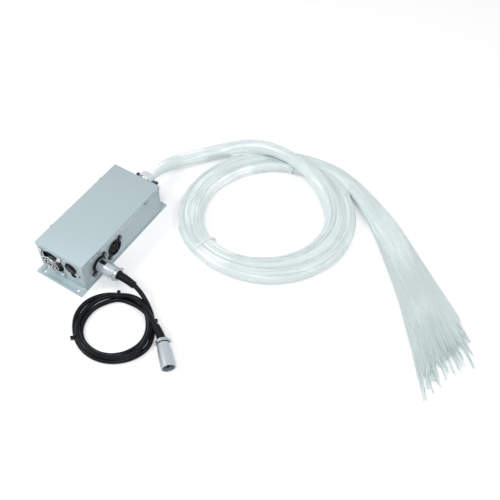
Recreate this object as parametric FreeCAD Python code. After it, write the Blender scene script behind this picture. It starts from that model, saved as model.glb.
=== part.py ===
import FreeCAD, Part
import math
import os
from FreeCAD import Vector

# Fibre optic light engine with its fibre bundle and its data lead.
# Millimetres. The origin is the centre of the base plate's underside, +X points to the fibre port,
# +Y to the plain long side, +Z up.

# Sheet-metal housing
BOX_LENGTH = 165.5
BOX_WIDTH = 78.0
BOX_HEIGHT = 52.9
SHEET = 1.2
BASE_SHEET = 1.5
FOOT_DEPTH = 12.7
FOOT_HOLE_RADIUS = 2.1
FOOT_HOLE_OUT = 6.9
FOOT_HOLE_IN = 10.3
FOOT_CORNER = 2.0
LIP_DEPTH = 7.0
LID_GAP = 0.1
LIP_SCREW_FROM_END = 32.25
LIP_SCREW_DROP = 3.6
TAB_WIDTH = 12.0
TAB_DEPTH = 9.0
TAB_FROM_END = 52.75
FIT = 0.05

# Metric screws of the housing
M3 = 1.5
M3_CLEAR = 0.1
PAN_RADIUS = 2.8
PAN_HEIGHT = 1.9
NUT_FLATS = 5.5
NUT_HEIGHT = 2.4
SCREW_TIP = 1.0
THREAD_WALL = 0.9
THREAD_LENGTH = 1.6
SLOT_WIDTH = 0.7
SLOT_DEPTH = 0.9

# Fan in the near end
FAN_SIZE = 40.0
FAN_DEPTH = 10.0
FAN_WALL = 1.0
FAN_SIDE_GAP = 1.0
FAN_FLOOR_GAP = 4.0
FAN_SCREW_IN = 4.0
FAN_CORNER = 3.0
FAN_HUB = 8.5
FAN_AXLE = 1.0
FAN_BLADES = 7
FAN_BLADE_SHEET = 1.2
FAN_BLADE_TILT = 35.0
FAN_TIP_GAP = 0.8
FAN_MOTOR = 8.0
FAN_MOTOR_DEPTH = 2.5
FAN_STRUT = 2.2
GUARD_WIRE = 0.6
GUARD_RING_COUNT = 3
GUARD_RING_IN = 5.5
GUARD_RING_STEP = 4.5
GUARD_PROUD = 3.6
GUARD_EYE = 2.6
FAN_SCREW_HEAD = 3.3

# Rocker switch, inlet and indicator in the near end; the first two stand off the middle of the strip
# between the fan and the wall
SWITCH_OFF = 3.0
SWITCH_Z = 35.0
SWITCH_BEZEL = 8.9
SWITCH_PROUD = 2.0
SWITCH_BODY = 7.4
SWITCH_DEPTH = 13.5
SWITCH_WALL = 0.9
SWITCH_BLADE = 1.5
ROCKER_GAP = 0.3
ROCKER_THICK = 5.0
ROCKER_TILT = 8.0
ROCKER_HOLLOW = 0.9
ROCKER_PIN = 0.9
JACK_OFF = 1.3
JACK_Z = 20.6
JACK_RADIUS = 4.0
JACK_BORE = 2.75
JACK_PIN = 1.0
JACK_PROUD = 0.6
JACK_DEPTH = 11.0
JACK_BORE_DEPTH = 9.0
JACK_NUT = 5.4
JACK_NUT_THICK = 1.8
LENS_FROM_SIDE = 9.0
LENS_Z = 25.0
LENS_RADIUS = 1.5
LENS_DEPTH = 5.0

# XLR sockets in the long side
XLR_Z = 25.6
XLR_FROM_END = 30.0
XLR_PITCH = 32.3
XLR_FACE = 12.0
XLR_PROUD = 2.0
XLR_BARREL = 11.7
XLR_DEPTH = 18.0
XLR_TAIL_END = 21.5
XLR_POCKET_DEPTH = 8.0
XLR_SCREW_X = 12.0
XLR_SCREW_Z = 9.5
XLR_EAR = 3.0
CUP_RADIUS = 8.0
CUP_DEPTH = 13.0
RECEPTACLE = 9.65
RECEPTACLE_DEPTH = 12.0
INSERT_RADIUS = 7.6
INSERT_THICK = 3.5
PIN_RADIUS = 1.15
PIN_CIRCLE = 3.6
PIN_ANGLES = (45.0, 135.0, 270.0)
PIN_TIP_BACK = 3.0
HOLE_RADIUS = 1.3
HOLE_DEPTH = 9.6
INSERT_BACK = 0.6
LATCH_WIDTH = 4.4
LATCH_HEIGHT = 1.2
LATCH_PROUD = 1.2
LATCH_DEPTH = 8.0
LATCH_TRAVEL = 1.2
LATCH_GAP = 0.08

# Fibre port in the far end
PORT_Z = 26.5
PORT_FLANGE = 15.0
PORT_FLANGE_THICK = 2.0
PORT_BARREL = 10.0
PORT_NUT = 13.0
PORT_NUT_THICK = 3.0
COLLAR_RADIUS = 12.0
COLLAR_LENGTH = 10.5
COLLAR_OUT = 24.5
FERRULE_RADIUS = 8.2
FERRULE_WALL = 0.7
FERRULE_IN = 18.0
THUMB_RADIUS = 1.5
THUMB_HEAD = 2.4
THUMB_HEAD_LENGTH = 4.2
THUMB_STAND = 2.2
THUMB_TIP_GAP = 0.1
THUMB_FROM_END = 3.6

# Light source on the port's axis
SINK_WIDTH = 36.0
SINK_HEIGHT = 34.0
SINK_BASE = 5.0
SINK_FIN_LENGTH = 14.0
SINK_FIN = 1.4
SINK_FINS = 8
SINK_FROM_END = 43.25
STAR_RADIUS = 10.0
STAR_THICK = 1.6
EMITTER_RADIUS = 3.2
EMITTER_BASE = 1.0
HOLDER_RADIUS = 12.0
HOLDER_BORE = 10.1
HOLDER_FLANGE = 15.0
HOLDER_FLANGE_THICK = 2.0
HOLDER_LENGTH = 17.0
OPTIC_SMALL = 4.2
OPTIC_LENGTH = 10.0
BRACKET_SHEET = 1.5
BRACKET_WIDTH = 30.0

# Driver board
BOARD_FROM_END = 20.75
BOARD_SINK_GAP = 4.5
BOARD_SIDE_GAP = 6.5
BOARD_THICK = 1.6
STANDOFF = 5.0
STANDOFF_RADIUS = 2.8
BOARD_HOLE_IN = 4.0
M2 = 1.0
M2_HEAD = 2.0
M2_HEAD_HEIGHT = 1.3
WIRE_RADIUS = 0.6
# What stands on the board, by distance from its near edge and by y: cans (x, y, radius, height),
# then headers and chips (x, y, length, width, height); the lamp header goes by distance from the far edge
BOARD_CANS = [(14, 20, 5, 16), (27, 20, 4, 11), (37, 22, 4, 11), (56, 5, 3.2, 8)]
COIL_AT = (50, 18)
COIL_OUTER = 6.0
COIL_INNER = 2.5
INLET_HEADER = (6, 2, 5, 9, 7)
LAMP_HEADER = (8, -8, 5, 10, 8)
BOARD_CHIPS = [(20, 4, 10, 8, 2.2), (34, 3, 7, 5, 1.8), (46, 3, 9, 9, 2.4), (25.4, -21, 6, 8, 9),
               (44, -20, 10, 7, 3), (57, -21, 6, 4, 2)]
DATA_PITCH = 3.0
DATA_HEADER_Y = -9.0
DATA_HEADER_HEIGHT = 4.0

# Cable plug A in the input socket, cable connector B on the lead's other end
SHELL_RADIUS = 9.5
PLUG_VISIBLE = 27.0
NOSE_RADIUS = 7.9
NOSE_WALL = 1.1
SHELL_NECK = 7.7
PLUG_TAPER = 15.0
CONNECTOR_TAPER = 26.0
CLAMP_RADIUS = 8.9
CLAMP_LENGTH = 4.0
CLAMP_LUG = 2.0
BOOT_RADIUS = 6.2
BOOT_TIP = 4.6
PLUG_LATCH_LENGTH = 9.0
PLUG_LATCH_WIDTH = 5.0
PLUG_LATCH_THICK = 1.4
PLUG_LATCH_PROUD = 0.9
PLUG_LATCH_TRAVEL = 0.8
CONNECTOR_LENGTH = 35.0
CONNECTOR_AT = (-94.6, -168.9)
CONNECTOR_TURN = -132.7
CONNECTOR_CUP = 15.0
CONNECTOR_WALL = 1.6

# Fibre bundle, laid on the floor
BUNDLE_RADIUS = 11.0
FIBRE_COIL_AT = (152.0, -177.0)
FIBRE_COIL_MEAN = 105.5
FIBRE_COIL_WIDTH = 43.0
FIBRE_COIL_HEIGHT = 24.0
FIBRE_TIE_ANGLES = (4.0, 156.0)
FIBRE_LEAD = [
    (107.25, 0.0, 26.5), (122.0, 0.0, 26.5), (144.0, -5.0, 22.0), (167.0, -14.0, 16.5),
    (189.0, -26.0, 13.0), (210.0, -41.0, 12.5), (228.0, -60.0, 16.0), (241.0, -82.0, 23.0),
    (248.0, -107.0, 31.0), (249.0, -134.0, 36.0), (247.0, -162.0, 36.0), (244.0, -188.0, 31.0),
    (238.0, -214.0, 24.0), (222.0, -238.0, 16.0), (199.0, -258.0, 12.5),
]
FIBRE_TAIL = [
    (228.0, -91.0, 12.0), (256.0, -121.0, 12.0), (272.0, -157.0, 11.5), (280.0, -194.0, 11.2),
    (278.0, -228.0, 11.0), (266.5, -259.0, 11.0),
]
# Spread end of the bundle: centre x, y, half width and half height of each section
SPRAY = [
    (266.5, -259.0, 11.0, 11.0), (248.0, -293.0, 16.5, 9.0), (229.0, -323.0, 20.0, 7.4),
    (205.0, -352.0, 23.5, 6.2), (177.0, -383.0, 27.0, 5.2), (146.0, -415.0, 32.0, 4.3),
    (114.0, -444.0, 37.5, 3.6), (84.0, -469.0, 42.5, 3.0), (54.0, -492.0, 46.5, 2.6),
]
# Gaps between its tufts: sideways place as a share of the half width, and depth from the tips
SPRAY_GAPS = [(-0.78, 30.0), (-0.55, 46.0), (-0.31, 28.0), (-0.06, 52.0), (0.20, 34.0), (0.43, 58.0),
              (0.64, 38.0), (0.83, 64.0)]
SPRAY_GAP_WIDTH = 4.0

# Data lead
CABLE_RADIUS = 3.1
CABLE_COIL_AT = (-109.0, -104.0)
CABLE_COIL_MEAN = 46.0
CABLE_TIE_ANGLES = (32.0, 139.0, -47.0)
CABLE_LEAD = [
    (-52.75, -96.0, 20.5), (-53.6, -103.5, 16.2), (-56.3, -112.0, 11.8), (-61.0, -121.3, 8.2),
    (-67.5, -130.3, 5.8), (-76.0, -138.0, 4.8),
]
CABLE_END = [
    (-67.0, -85.3, 5.6), (-62.3, -96.5, 7.0), (-61.4, -108.8, 9.4), (-66.3, -120.4, 11.0),
    (-72.8, -131.8, 12.2), (-79.0, -142.4, 13.0), (-82.9, -150.4, 13.0),
]
BOOT_SAG = 2.6
BOOT_RINGS = 3
BOOT_B = [(-94.6, -168.9, 9.5), (-90.3, -162.8, 10.6), (-86.2, -156.6, 12.0), (-82.9, -150.4, 13.0)]
TIE_THICK = 1.0
FIBRE_TIE_WIDTH = 4.6
CABLE_TIE_WIDTH = 2.6
TIE_HEAD = 4.0

X_AXIS = Vector(1, 0, 0)
Y_AXIS = Vector(0, 1, 0)
Z_AXIS = Vector(0, 0, 1)
NEAR = -BOX_LENGTH / 2
FAR = BOX_LENGTH / 2
WALL_Y = BOX_WIDTH / 2 - SHEET - LID_GAP
LIP_SCREW_X = FAR - LIP_SCREW_FROM_END
TAB_X = FAR - TAB_FROM_END
FAN_BORE = FAN_SIZE / 2 - FAN_WALL
FAN_Y = WALL_Y - SHEET - FAN_SIDE_GAP - FAN_SIZE / 2
FAN_Z = BASE_SHEET + FAN_FLOOR_GAP + FAN_SIZE / 2
GUARD_OUTER = FAN_BORE - GUARD_RING_IN
STRIP_Y = (FAN_Y - FAN_SIZE / 2 - WALL_Y + SHEET) / 2
SWITCH_Y = STRIP_Y + SWITCH_OFF
JACK_Y = STRIP_Y + JACK_OFF
LENS_Y = -BOX_WIDTH / 2 + LENS_FROM_SIDE
XLR_IN_X = NEAR + XLR_FROM_END
XLR_OUT_X = XLR_IN_X + XLR_PITCH
SINK_X = FAR - SINK_FROM_END
SINK_BACK = SINK_X - SINK_BASE - SINK_FIN_LENGTH
BOARD_X0 = NEAR + BOARD_FROM_END
BOARD_X1 = SINK_BACK - BOARD_SINK_GAP
BOARD_Y = WALL_Y - SHEET - BOARD_SIDE_GAP
BOARD_TOP = BASE_SHEET + STANDOFF + BOARD_THICK


# ---------------------------------------------------------------- shape helpers
def block(x0, x1, y0, y1, z0, z1):
    return Part.makeBox(x1 - x0, y1 - y0, z1 - z0, Vector(x0, y0, z0))


def rod(start, direction, radius, length):
    return Part.makeCylinder(radius, length, Vector(*start), Vector(*direction))


def cone(start, direction, first, second, length):
    return Part.makeCone(first, second, length, Vector(*start), Vector(*direction))


def join(shapes):
    whole = shapes[0]
    if len(shapes) > 1:
        whole = whole.fuse(shapes[1:])
    return whole.removeSplitter()


def group(shapes):
    return Part.makeCompound(shapes)


def largest(shape):
    return max(shape.Solids, key=lambda solid: solid.Volume)


def hexagon(start, direction, flats, height):
    """A hexagonal nut blank, flats apart, standing on start."""
    corner = flats / math.sqrt(3)
    points = [Vector(corner * math.cos(math.radians(60 * k)), corner * math.sin(math.radians(60 * k)), 0)
              for k in range(7)]
    nut = Part.Face(Part.makePolygon(points)).extrude(Vector(0, 0, height))
    nut.Placement = FreeCAD.Placement(Vector(*start), FreeCAD.Rotation(Z_AXIS, Vector(*direction)))
    return nut


def nut(start, direction, flats, height, bore):
    return hexagon(start, direction, flats, height).cut(rod(start, direction, bore, height))


def pan_screw(seat, out, radius, length, head, height):
    """A slotted pan-head screw: the head stands from seat along out, the shank runs the other way."""
    out = Vector(*out)
    seat = Vector(*seat)
    dome = Part.makeCylinder(head, height, seat, out)
    dome = dome.makeFillet(height * 0.6, [e for e in dome.Edges
                                          if e.CenterOfMass.distanceToPoint(seat + out * height) < 0.01])
    side = out.cross(Vector(0, 0, 1)) if abs(out.z) < 0.9 else Vector(1, 0, 0)
    slot = Part.makeBox(2.2 * head, SLOT_WIDTH, SLOT_DEPTH)
    slot.translate(Vector(-1.1 * head, -SLOT_WIDTH / 2, -SLOT_DEPTH))
    turn = FreeCAD.Rotation(side, out.cross(side), out, "ZXY")
    slot.Placement = FreeCAD.Placement(seat + out * height, turn).multiply(slot.Placement)
    return join([dome, Part.makeCylinder(radius, length, seat, -out)]).cut(slot)


def route(points):
    """Straight runs joined by tangent arcs, each as large as 0.45 of the shorter run allows."""
    points = [Vector(*p) for p in points]
    edges, radii, start = [], [], points[0]
    for before, corner, after in zip(points, points[1:], points[2:]):
        inward = (before - corner).normalize()
        onward = (after - corner).normalize()
        turn = math.pi - inward.getAngle(onward)
        cut = 0.45 * min((before - corner).Length, (after - corner).Length)
        radius = cut / math.tan(turn / 2)
        bisector = (inward + onward).normalize()
        middle = corner + bisector * (radius / math.cos(turn / 2) - radius)
        first, last = corner + inward * cut, corner + onward * cut
        edges.append(Part.LineSegment(start, first).toShape())
        edges.append(Part.Arc(first, middle, last).toShape())
        radii.append(radius)
        start = last
    edges.append(Part.LineSegment(start, points[-1]).toShape())
    return Part.Wire(edges), radii


def tube(name, points, radius):
    """A solid round tube along the route of points."""
    path, radii = route(points)
    heading = Vector(*points[1]) - Vector(*points[0])
    ring = Part.Wire(Part.makeCircle(radius, Vector(*points[0]), heading))
    solid = path.makePipeShell([ring], True, False)
    ideal = math.pi * radius ** 2 * path.Length
    print(name, "length", round(path.Length, 1), "smallest radius", round(min(radii), 1),
          "volume ratio", round(solid.Volume / ideal, 4))
    return solid


def boot(foot, taper):
    """A boot of round sections: its straight foot fills the clamp ring, and it narrows along taper."""
    points = [Vector(*foot)] + [Vector(*p) for p in taper]
    rings = []
    for k, point in enumerate(points):
        heading = points[min(k + 1, len(points) - 1)] - points[max(k - 1, 0)]
        size = BOOT_RADIUS + (BOOT_TIP - BOOT_RADIUS) * max(k - 1, 0) / (len(taper) - 1)
        rings.append(Part.Wire(Part.makeCircle(size, point, heading)))
    return Part.makeLoft(rings, True, True)


def turned(profile, at, angle=360.0):
    """A closed outline of (radius, z) points or edges turned about the upright line through at."""
    wire = Part.Wire(profile) if isinstance(profile[0], Part.Edge) else None
    if wire is None:
        points = [Vector(r, 0, z) for r, z in profile]
        wire = Part.makePolygon(points + [points[0]])
    solid = Part.Face(wire).revolve(Vector(0, 0, 0), Z_AXIS, angle)
    solid.translate(Vector(at[0], at[1], 0))
    return solid


def outline(path):
    """A closed wire in the XY plane: a step of the path is a corner or the three points of an arc.

    Straight lines join the steps, and the first step is a corner.
    """
    edges, spot = [], None
    for step in path + path[:1]:
        stops = [Vector(x, y, 0) for x, y in (step if len(step) == 3 else [step])]
        if spot is not None:
            edges.append(Part.LineSegment(spot, stops[0]).toShape())
        if len(stops) == 3:
            edges.append(Part.Arc(*stops).toShape())
        spot = stops[-1]
    return Part.Wire(edges)


def swell(neck_at, full_at, neck, full):
    """The arc by which a radius grows from neck to full over its length, level at its full end."""
    length, rise = full_at - neck_at, full - neck
    bend = (length ** 2 + rise ** 2) / (2 * rise)
    halfway = full - bend + math.sqrt(bend ** 2 - length ** 2 / 4)
    return (neck_at, neck), (neck_at + length / 2, halfway), (full_at, full)


def around_x(profile, y, z):
    """A closed outline of (x, radius) points turned about the line along X through y, z."""
    solid = Part.Face(outline(profile)).revolve(Vector(0, 0, 0), X_AXIS, 360)
    solid.translate(Vector(0, y, z))
    return solid


def on_circle(radius, degrees):
    return radius * math.cos(math.radians(degrees)), radius * math.sin(math.radians(degrees))


# ---------------------------------------------------------------- housing
def foot_holes():
    x = FAR + FOOT_HOLE_OUT
    y = BOX_WIDTH / 2 - FOOT_HOLE_IN
    return [(sx * x, sy * y) for sx in (-1, 1) for sy in (-1, 1)]


def tab_screws():
    y = WALL_Y - SHEET - TAB_DEPTH / 2
    return [(sx * TAB_X, sy * y) for sx in (-1, 1) for sy in (-1, 1)]


def base_plate():
    """The flat base, longer than the box so that each end is a mounting foot."""
    half = FAR + FOOT_DEPTH
    plate = block(-half, half, -BOX_WIDTH / 2, BOX_WIDTH / 2, 0, BASE_SHEET)
    upright = [e for e in plate.Edges if abs(e.tangentAt(e.FirstParameter).z) > 0.9]
    plate = plate.makeFillet(FOOT_CORNER, upright)
    holes = [rod((x, y, -1), (0, 0, 1), FOOT_HOLE_RADIUS, BASE_SHEET + 2) for x, y in foot_holes()]
    sinks = [countersunk(x, y, FIT, BASE_SHEET + SHEET) for x, y in tab_screws()]
    return plate.cut(group(holes + sinks))


def countersunk(x, y, grow, length):
    """A countersunk shape with its flat head in the plane z = 0."""
    depth = BASE_SHEET * 0.8
    head = cone((x, y, 0), (0, 0, 1), M3 + depth + grow, M3 + grow, depth)
    return join([head, rod((x, y, 0), (0, 0, 1), M3 + grow, length)])


def base_screws():
    length = BASE_SHEET + SHEET + THREAD_LENGTH + SCREW_TIP
    return group([countersunk(x, y, 0, length) for x, y in tab_screws()])


def lip_screw_seats():
    z = BOX_HEIGHT - LIP_SCREW_DROP
    return [(sx * LIP_SCREW_X, side, z) for sx in (-1, 1) for side in (-1, 1)]


def housing_walls():
    """Four upright walls folded from one strip, with tabs turned in over the base plate.

    The screw holes of the tabs and of the cover are drawn inwards into short threaded collars.
    """
    top = BOX_HEIGHT - SHEET
    outer = block(NEAR, FAR, -WALL_Y, WALL_Y, BASE_SHEET, top)
    inner = block(NEAR + SHEET, FAR - SHEET, -WALL_Y + SHEET, WALL_Y - SHEET, BASE_SHEET - 1, top + 1)
    walls = outer.cut(inner)
    tabs = []
    for x, y in tab_screws():
        side = math.copysign(1, y)
        edge, end = side * (WALL_Y - SHEET / 2), side * (WALL_Y - SHEET - TAB_DEPTH)
        tabs.append(block(x - TAB_WIDTH / 2, x + TAB_WIDTH / 2, min(edge, end), max(edge, end),
                          BASE_SHEET, BASE_SHEET + SHEET))
    drawn = [rod((x, y, BASE_SHEET), (0, 0, 1), M3 + THREAD_WALL, SHEET + THREAD_LENGTH)
             for x, y in tab_screws()]
    drawn += [rod((x, side * WALL_Y, z), (0, -side, 0), M3 + THREAD_WALL, SHEET + THREAD_LENGTH)
              for x, side, z in lip_screw_seats()]
    walls = join([walls] + tabs + drawn)
    cuts = [rod((x, y, 0), (0, 0, 1), M3 + FIT, 4 * SHEET) for x, y in tab_screws()]
    for x, side, z in lip_screw_seats():
        cuts.append(rod((x, side * (WALL_Y + 1), z), (0, -side, 0), M3 + FIT, 4 * SHEET + 1))
    cuts.append(rod((NEAR - 1, FAN_Y, FAN_Z), (1, 0, 0), FAN_BORE, SHEET + 2))
    for y, z in fan_corners():
        cuts.append(rod((NEAR - 1, y, z), (1, 0, 0), M3 + FIT, SHEET + 2))
    cuts.append(rod((NEAR - 1, SWITCH_Y, SWITCH_Z), (1, 0, 0), SWITCH_BODY + FIT, SHEET + 2))
    cuts.append(rod((NEAR - 1, JACK_Y, JACK_Z), (1, 0, 0), JACK_RADIUS - 0.5 + FIT, SHEET + 2))
    cuts.append(rod((NEAR - 1, LENS_Y, LENS_Z), (1, 0, 0), LENS_RADIUS + FIT, SHEET + 2))
    for x in (XLR_IN_X, XLR_OUT_X):
        cuts.append(rod((x, -WALL_Y - 1, XLR_Z), (0, 1, 0), XLR_BARREL + FIT, SHEET + 2))
        for dx, dz in xlr_screw_offsets():
            cuts.append(rod((x + dx, -WALL_Y - 1, XLR_Z + dz), (0, 1, 0), M3 + FIT, SHEET + 2))
    cuts.append(rod((FAR - SHEET - 1, 0, PORT_Z), (1, 0, 0), PORT_BARREL + FIT, SHEET + 2))
    return walls.cut(group(cuts))


def top_cover():
    """The lid: a flat top with a lip down each long side, outside the walls."""
    half = BOX_WIDTH / 2
    cover = block(NEAR, FAR, -half, half, BOX_HEIGHT - LIP_DEPTH, BOX_HEIGHT)
    folds = [e for e in cover.Edges if abs(e.tangentAt(e.FirstParameter).x) > 0.9
             and e.CenterOfMass.z > BOX_HEIGHT - 0.1]
    cover = cover.makeFillet(SHEET, folds)
    hollow = block(NEAR - 1, FAR + 1, -half + SHEET, half - SHEET, 0, BOX_HEIGHT - SHEET)
    cover = cover.cut(hollow)
    holes = [rod((x, side * (half + 1), z), (0, -side, 0), M3 + M3_CLEAR, SHEET + 2)
             for x, side, z in lip_screw_seats()]
    return cover.cut(group(holes))


def cover_screws():
    length = SHEET + LID_GAP + SHEET + THREAD_LENGTH + SCREW_TIP
    return group([pan_screw((x, side * BOX_WIDTH / 2, z), (0, side, 0), M3, length, PAN_RADIUS, PAN_HEIGHT)
                  for x, side, z in lip_screw_seats()])


# ---------------------------------------------------------------- fan
def fan_corners():
    half = FAN_SIZE / 2 - FAN_SCREW_IN
    return [(FAN_Y + sy * half, FAN_Z + sz * half) for sy in (-1, 1) for sz in (-1, 1)]


def fan_frame():
    """The square fan housing, with the motor carried behind the rotor on three struts."""
    near = NEAR + SHEET
    far = near + FAN_DEPTH
    half = FAN_SIZE / 2
    frame = block(near, far, FAN_Y - half, FAN_Y + half, FAN_Z - half, FAN_Z + half)
    long_edges = [e for e in frame.Edges if abs(e.tangentAt(e.FirstParameter).x) > 0.9]
    frame = frame.makeFillet(FAN_CORNER, long_edges)
    frame = frame.cut(rod((near - 1, FAN_Y, FAN_Z), (1, 0, 0), FAN_BORE, FAN_DEPTH + 2))
    motor = rod((far - FAN_MOTOR_DEPTH, FAN_Y, FAN_Z), (1, 0, 0), FAN_MOTOR, FAN_MOTOR_DEPTH)
    struts = []
    for k in range(3):
        strut = block(far - FAN_STRUT, far, FAN_Y, FAN_Y + FAN_BORE + 0.4, FAN_Z - FAN_STRUT / 2,
                      FAN_Z + FAN_STRUT / 2)
        strut.rotate(Vector(0, FAN_Y, FAN_Z), X_AXIS, 90 + 120 * k)
        struts.append(strut)
    frame = join([frame, motor] + struts)
    holes = [rod((near - 1, y, z), (1, 0, 0), M3 + M3_CLEAR, FAN_DEPTH + 2) for y, z in fan_corners()]
    holes.append(rod((near, FAN_Y, FAN_Z), (1, 0, 0), FAN_AXLE + FIT, FAN_DEPTH + 1))
    return frame.cut(group(holes))


def fan_rotor():
    """Hub cup with tilted blades and the axle that runs in the motor's bush."""
    near = NEAR + SHEET + 0.8
    length = FAN_DEPTH - FAN_MOTOR_DEPTH - 1.3
    hub = rod((near, FAN_Y, FAN_Z), (1, 0, 0), FAN_HUB, length)
    tip = FAN_BORE - FAN_TIP_GAP
    blades = []
    for k in range(FAN_BLADES):
        blade = block(-length * 0.6, length * 0.6, -FAN_BLADE_SHEET / 2, FAN_BLADE_SHEET / 2,
                      FAN_HUB - 1.0, tip + 2)
        blade.rotate(Vector(0, 0, 0), Z_AXIS, FAN_BLADE_TILT)
        blade.translate(Vector(near + length / 2, FAN_Y, FAN_Z))
        blade.rotate(Vector(0, FAN_Y, FAN_Z), X_AXIS, k * 360.0 / FAN_BLADES)
        blades.append(blade)
    reach = rod((near + 0.2, FAN_Y, FAN_Z), (1, 0, 0), tip, length - 0.4)
    core = rod((near, FAN_Y, FAN_Z), (1, 0, 0), FAN_HUB - 0.5, length)
    blades = [b.common(reach).cut(core) for b in blades]
    axle_end = NEAR + SHEET + FAN_DEPTH - 0.2
    axle = rod((near + 1, FAN_Y, FAN_Z), (1, 0, 0), FAN_AXLE, axle_end - near - 1)
    return join([hub, axle] + blades)


def fan_guard():
    """Wire finger guard: rings on four arms that end in screw eyes on the wall."""
    plane = NEAR - GUARD_PROUD
    parts = []
    for k in reversed(range(GUARD_RING_COUNT)):
        radius = GUARD_OUTER - k * GUARD_RING_STEP
        ring = Part.makeTorus(radius, GUARD_WIRE, Vector(plane - 1.6 * GUARD_WIRE, FAN_Y, FAN_Z), X_AXIS)
        parts.append(ring)
    for y, z in fan_corners():
        away = Vector(0, y - FAN_Y, z - FAN_Z)
        reach = away.Length
        away.normalize()
        centre = Vector(plane, FAN_Y, FAN_Z)
        wall = Vector(NEAR - GUARD_WIRE, FAN_Y, FAN_Z)
        tip = centre + away * (GUARD_OUTER - (GUARD_RING_COUNT - 1) * GUARD_RING_STEP - 2 * GUARD_WIRE)
        bend = centre + away * (GUARD_OUTER + GUARD_WIRE)
        foot = wall + away * (reach - FAN_SCREW_HEAD - 2 * GUARD_WIRE)
        eye = wall + away * (reach - GUARD_EYE)
        arm = [Part.makeTorus(GUARD_EYE, GUARD_WIRE, Vector(NEAR - GUARD_WIRE, y, z), X_AXIS)]
        for start, end in ((foot, eye), (bend, foot), (tip, bend)):
            arm.append(Part.makeCylinder(GUARD_WIRE, end.distanceToPoint(start), start, end - start))
            arm.append(Part.makeSphere(GUARD_WIRE, start))
        parts.append(join(arm))
    return join(parts)


def fan_screws():
    seat = NEAR - 2 * GUARD_WIRE
    length = 2 * GUARD_WIRE + SHEET + FAN_DEPTH + NUT_HEIGHT + SCREW_TIP
    return group([pan_screw((seat, y, z), (-1, 0, 0), M3, length, FAN_SCREW_HEAD, PAN_HEIGHT)
                  for y, z in fan_corners()])


# ---------------------------------------------------------------- switch, inlet, indicator
def switch_body():
    """Round snap-in body with a flat bezel on the wall and a round well for the rocker."""
    well = SWITCH_BODY - SWITCH_WALL
    bezel = rod((NEAR, SWITCH_Y, SWITCH_Z), (-1, 0, 0), SWITCH_BEZEL, SWITCH_PROUD)
    rim = [e for e in bezel.Edges if e.CenterOfMass.x < NEAR - SWITCH_PROUD + 0.01 and e.Length > 1]
    bezel = bezel.makeFillet(SWITCH_PROUD * 0.4, rim)
    barrel = rod((NEAR, SWITCH_Y, SWITCH_Z), (1, 0, 0), SWITCH_BODY, SWITCH_DEPTH)
    body = join([bezel, barrel])
    body = body.cut(rod((NEAR - SWITCH_PROUD - 1, SWITCH_Y, SWITCH_Z), (1, 0, 0), well,
                        SWITCH_PROUD + 1 + ROCKER_THICK + 1.5))
    blades = [block(NEAR + SWITCH_DEPTH, NEAR + SWITCH_DEPTH + SWITCH_BLADE, SWITCH_Y + s * 3 - 0.4,
                    SWITCH_Y + s * 3 + 0.4, SWITCH_Z - 2, SWITCH_Z + 2) for s in (-1, 1)]
    body = join([body] + blades)
    pin = rod((NEAR, SWITCH_Y - SWITCH_BODY - 1, SWITCH_Z), (0, 1, 0), ROCKER_PIN + FIT, 2 * SWITCH_BODY + 2)
    well_side = rod((NEAR - 2, SWITCH_Y, SWITCH_Z), (1, 0, 0), SWITCH_BODY - 0.3, 5)
    return body.cut(pin.common(well_side))


def switch_rocker():
    """Round rocker with two flat faces, tilted to its off side on a pin along Y."""
    radius = SWITCH_BODY - SWITCH_WALL - ROCKER_GAP
    ball = Part.makeSphere(radius, Vector(NEAR, SWITCH_Y, SWITCH_Z))
    front = NEAR - SWITCH_PROUD - 0.9
    rocker = ball.common(block(front, front + ROCKER_THICK, SWITCH_Y - radius - 1, SWITCH_Y + radius + 1,
                               SWITCH_Z - radius - 1, SWITCH_Z + radius + 1))
    for side in (0, 180):
        face = block(front - 4, front + ROCKER_HOLLOW, SWITCH_Y - 9, SWITCH_Y + 9, SWITCH_Z, SWITCH_Z + 9)
        face.rotate(Vector(front + ROCKER_HOLLOW, SWITCH_Y, SWITCH_Z), Y_AXIS, -ROCKER_TILT)
        face.rotate(Vector(NEAR, SWITCH_Y, SWITCH_Z), X_AXIS, side)
        rocker = rocker.cut(face)
    pin = rod((NEAR, SWITCH_Y - SWITCH_BODY + 0.4, SWITCH_Z), (0, 1, 0), ROCKER_PIN, 2 * SWITCH_BODY - 0.8)
    rocker = join([rocker, pin])
    rocker.rotate(Vector(NEAR, SWITCH_Y, SWITCH_Z), Y_AXIS, -ROCKER_TILT)
    return rocker


def dc_jack():
    """Barrel inlet: rim on the wall, blind bore with a centre pin."""
    rim = rod((NEAR - JACK_PROUD, JACK_Y, JACK_Z), (1, 0, 0), JACK_RADIUS, JACK_PROUD)
    barrel = rod((NEAR, JACK_Y, JACK_Z), (1, 0, 0), JACK_RADIUS - 0.5, JACK_DEPTH)
    jack = join([rim, barrel])
    jack = jack.cut(rod((NEAR - JACK_PROUD, JACK_Y, JACK_Z), (1, 0, 0), JACK_BORE, JACK_BORE_DEPTH))
    pin = rod((NEAR + 0.5, JACK_Y, JACK_Z), (1, 0, 0), JACK_PIN, JACK_BORE_DEPTH)
    return join([jack, pin])


def dc_jack_nut():
    return nut((NEAR + SHEET, JACK_Y, JACK_Z), (1, 0, 0), 2 * JACK_NUT - 1.2, JACK_NUT_THICK,
               JACK_RADIUS - 0.5 + FIT)


def indicator_lens():
    lens = rod((NEAR, LENS_Y, LENS_Z), (1, 0, 0), LENS_RADIUS, LENS_DEPTH)
    collar = rod((NEAR + SHEET, LENS_Y, LENS_Z), (1, 0, 0), LENS_RADIUS + 0.5, LENS_DEPTH - SHEET)
    return join([lens, collar, Part.makeSphere(LENS_RADIUS, Vector(NEAR, LENS_Y, LENS_Z))])


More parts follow.
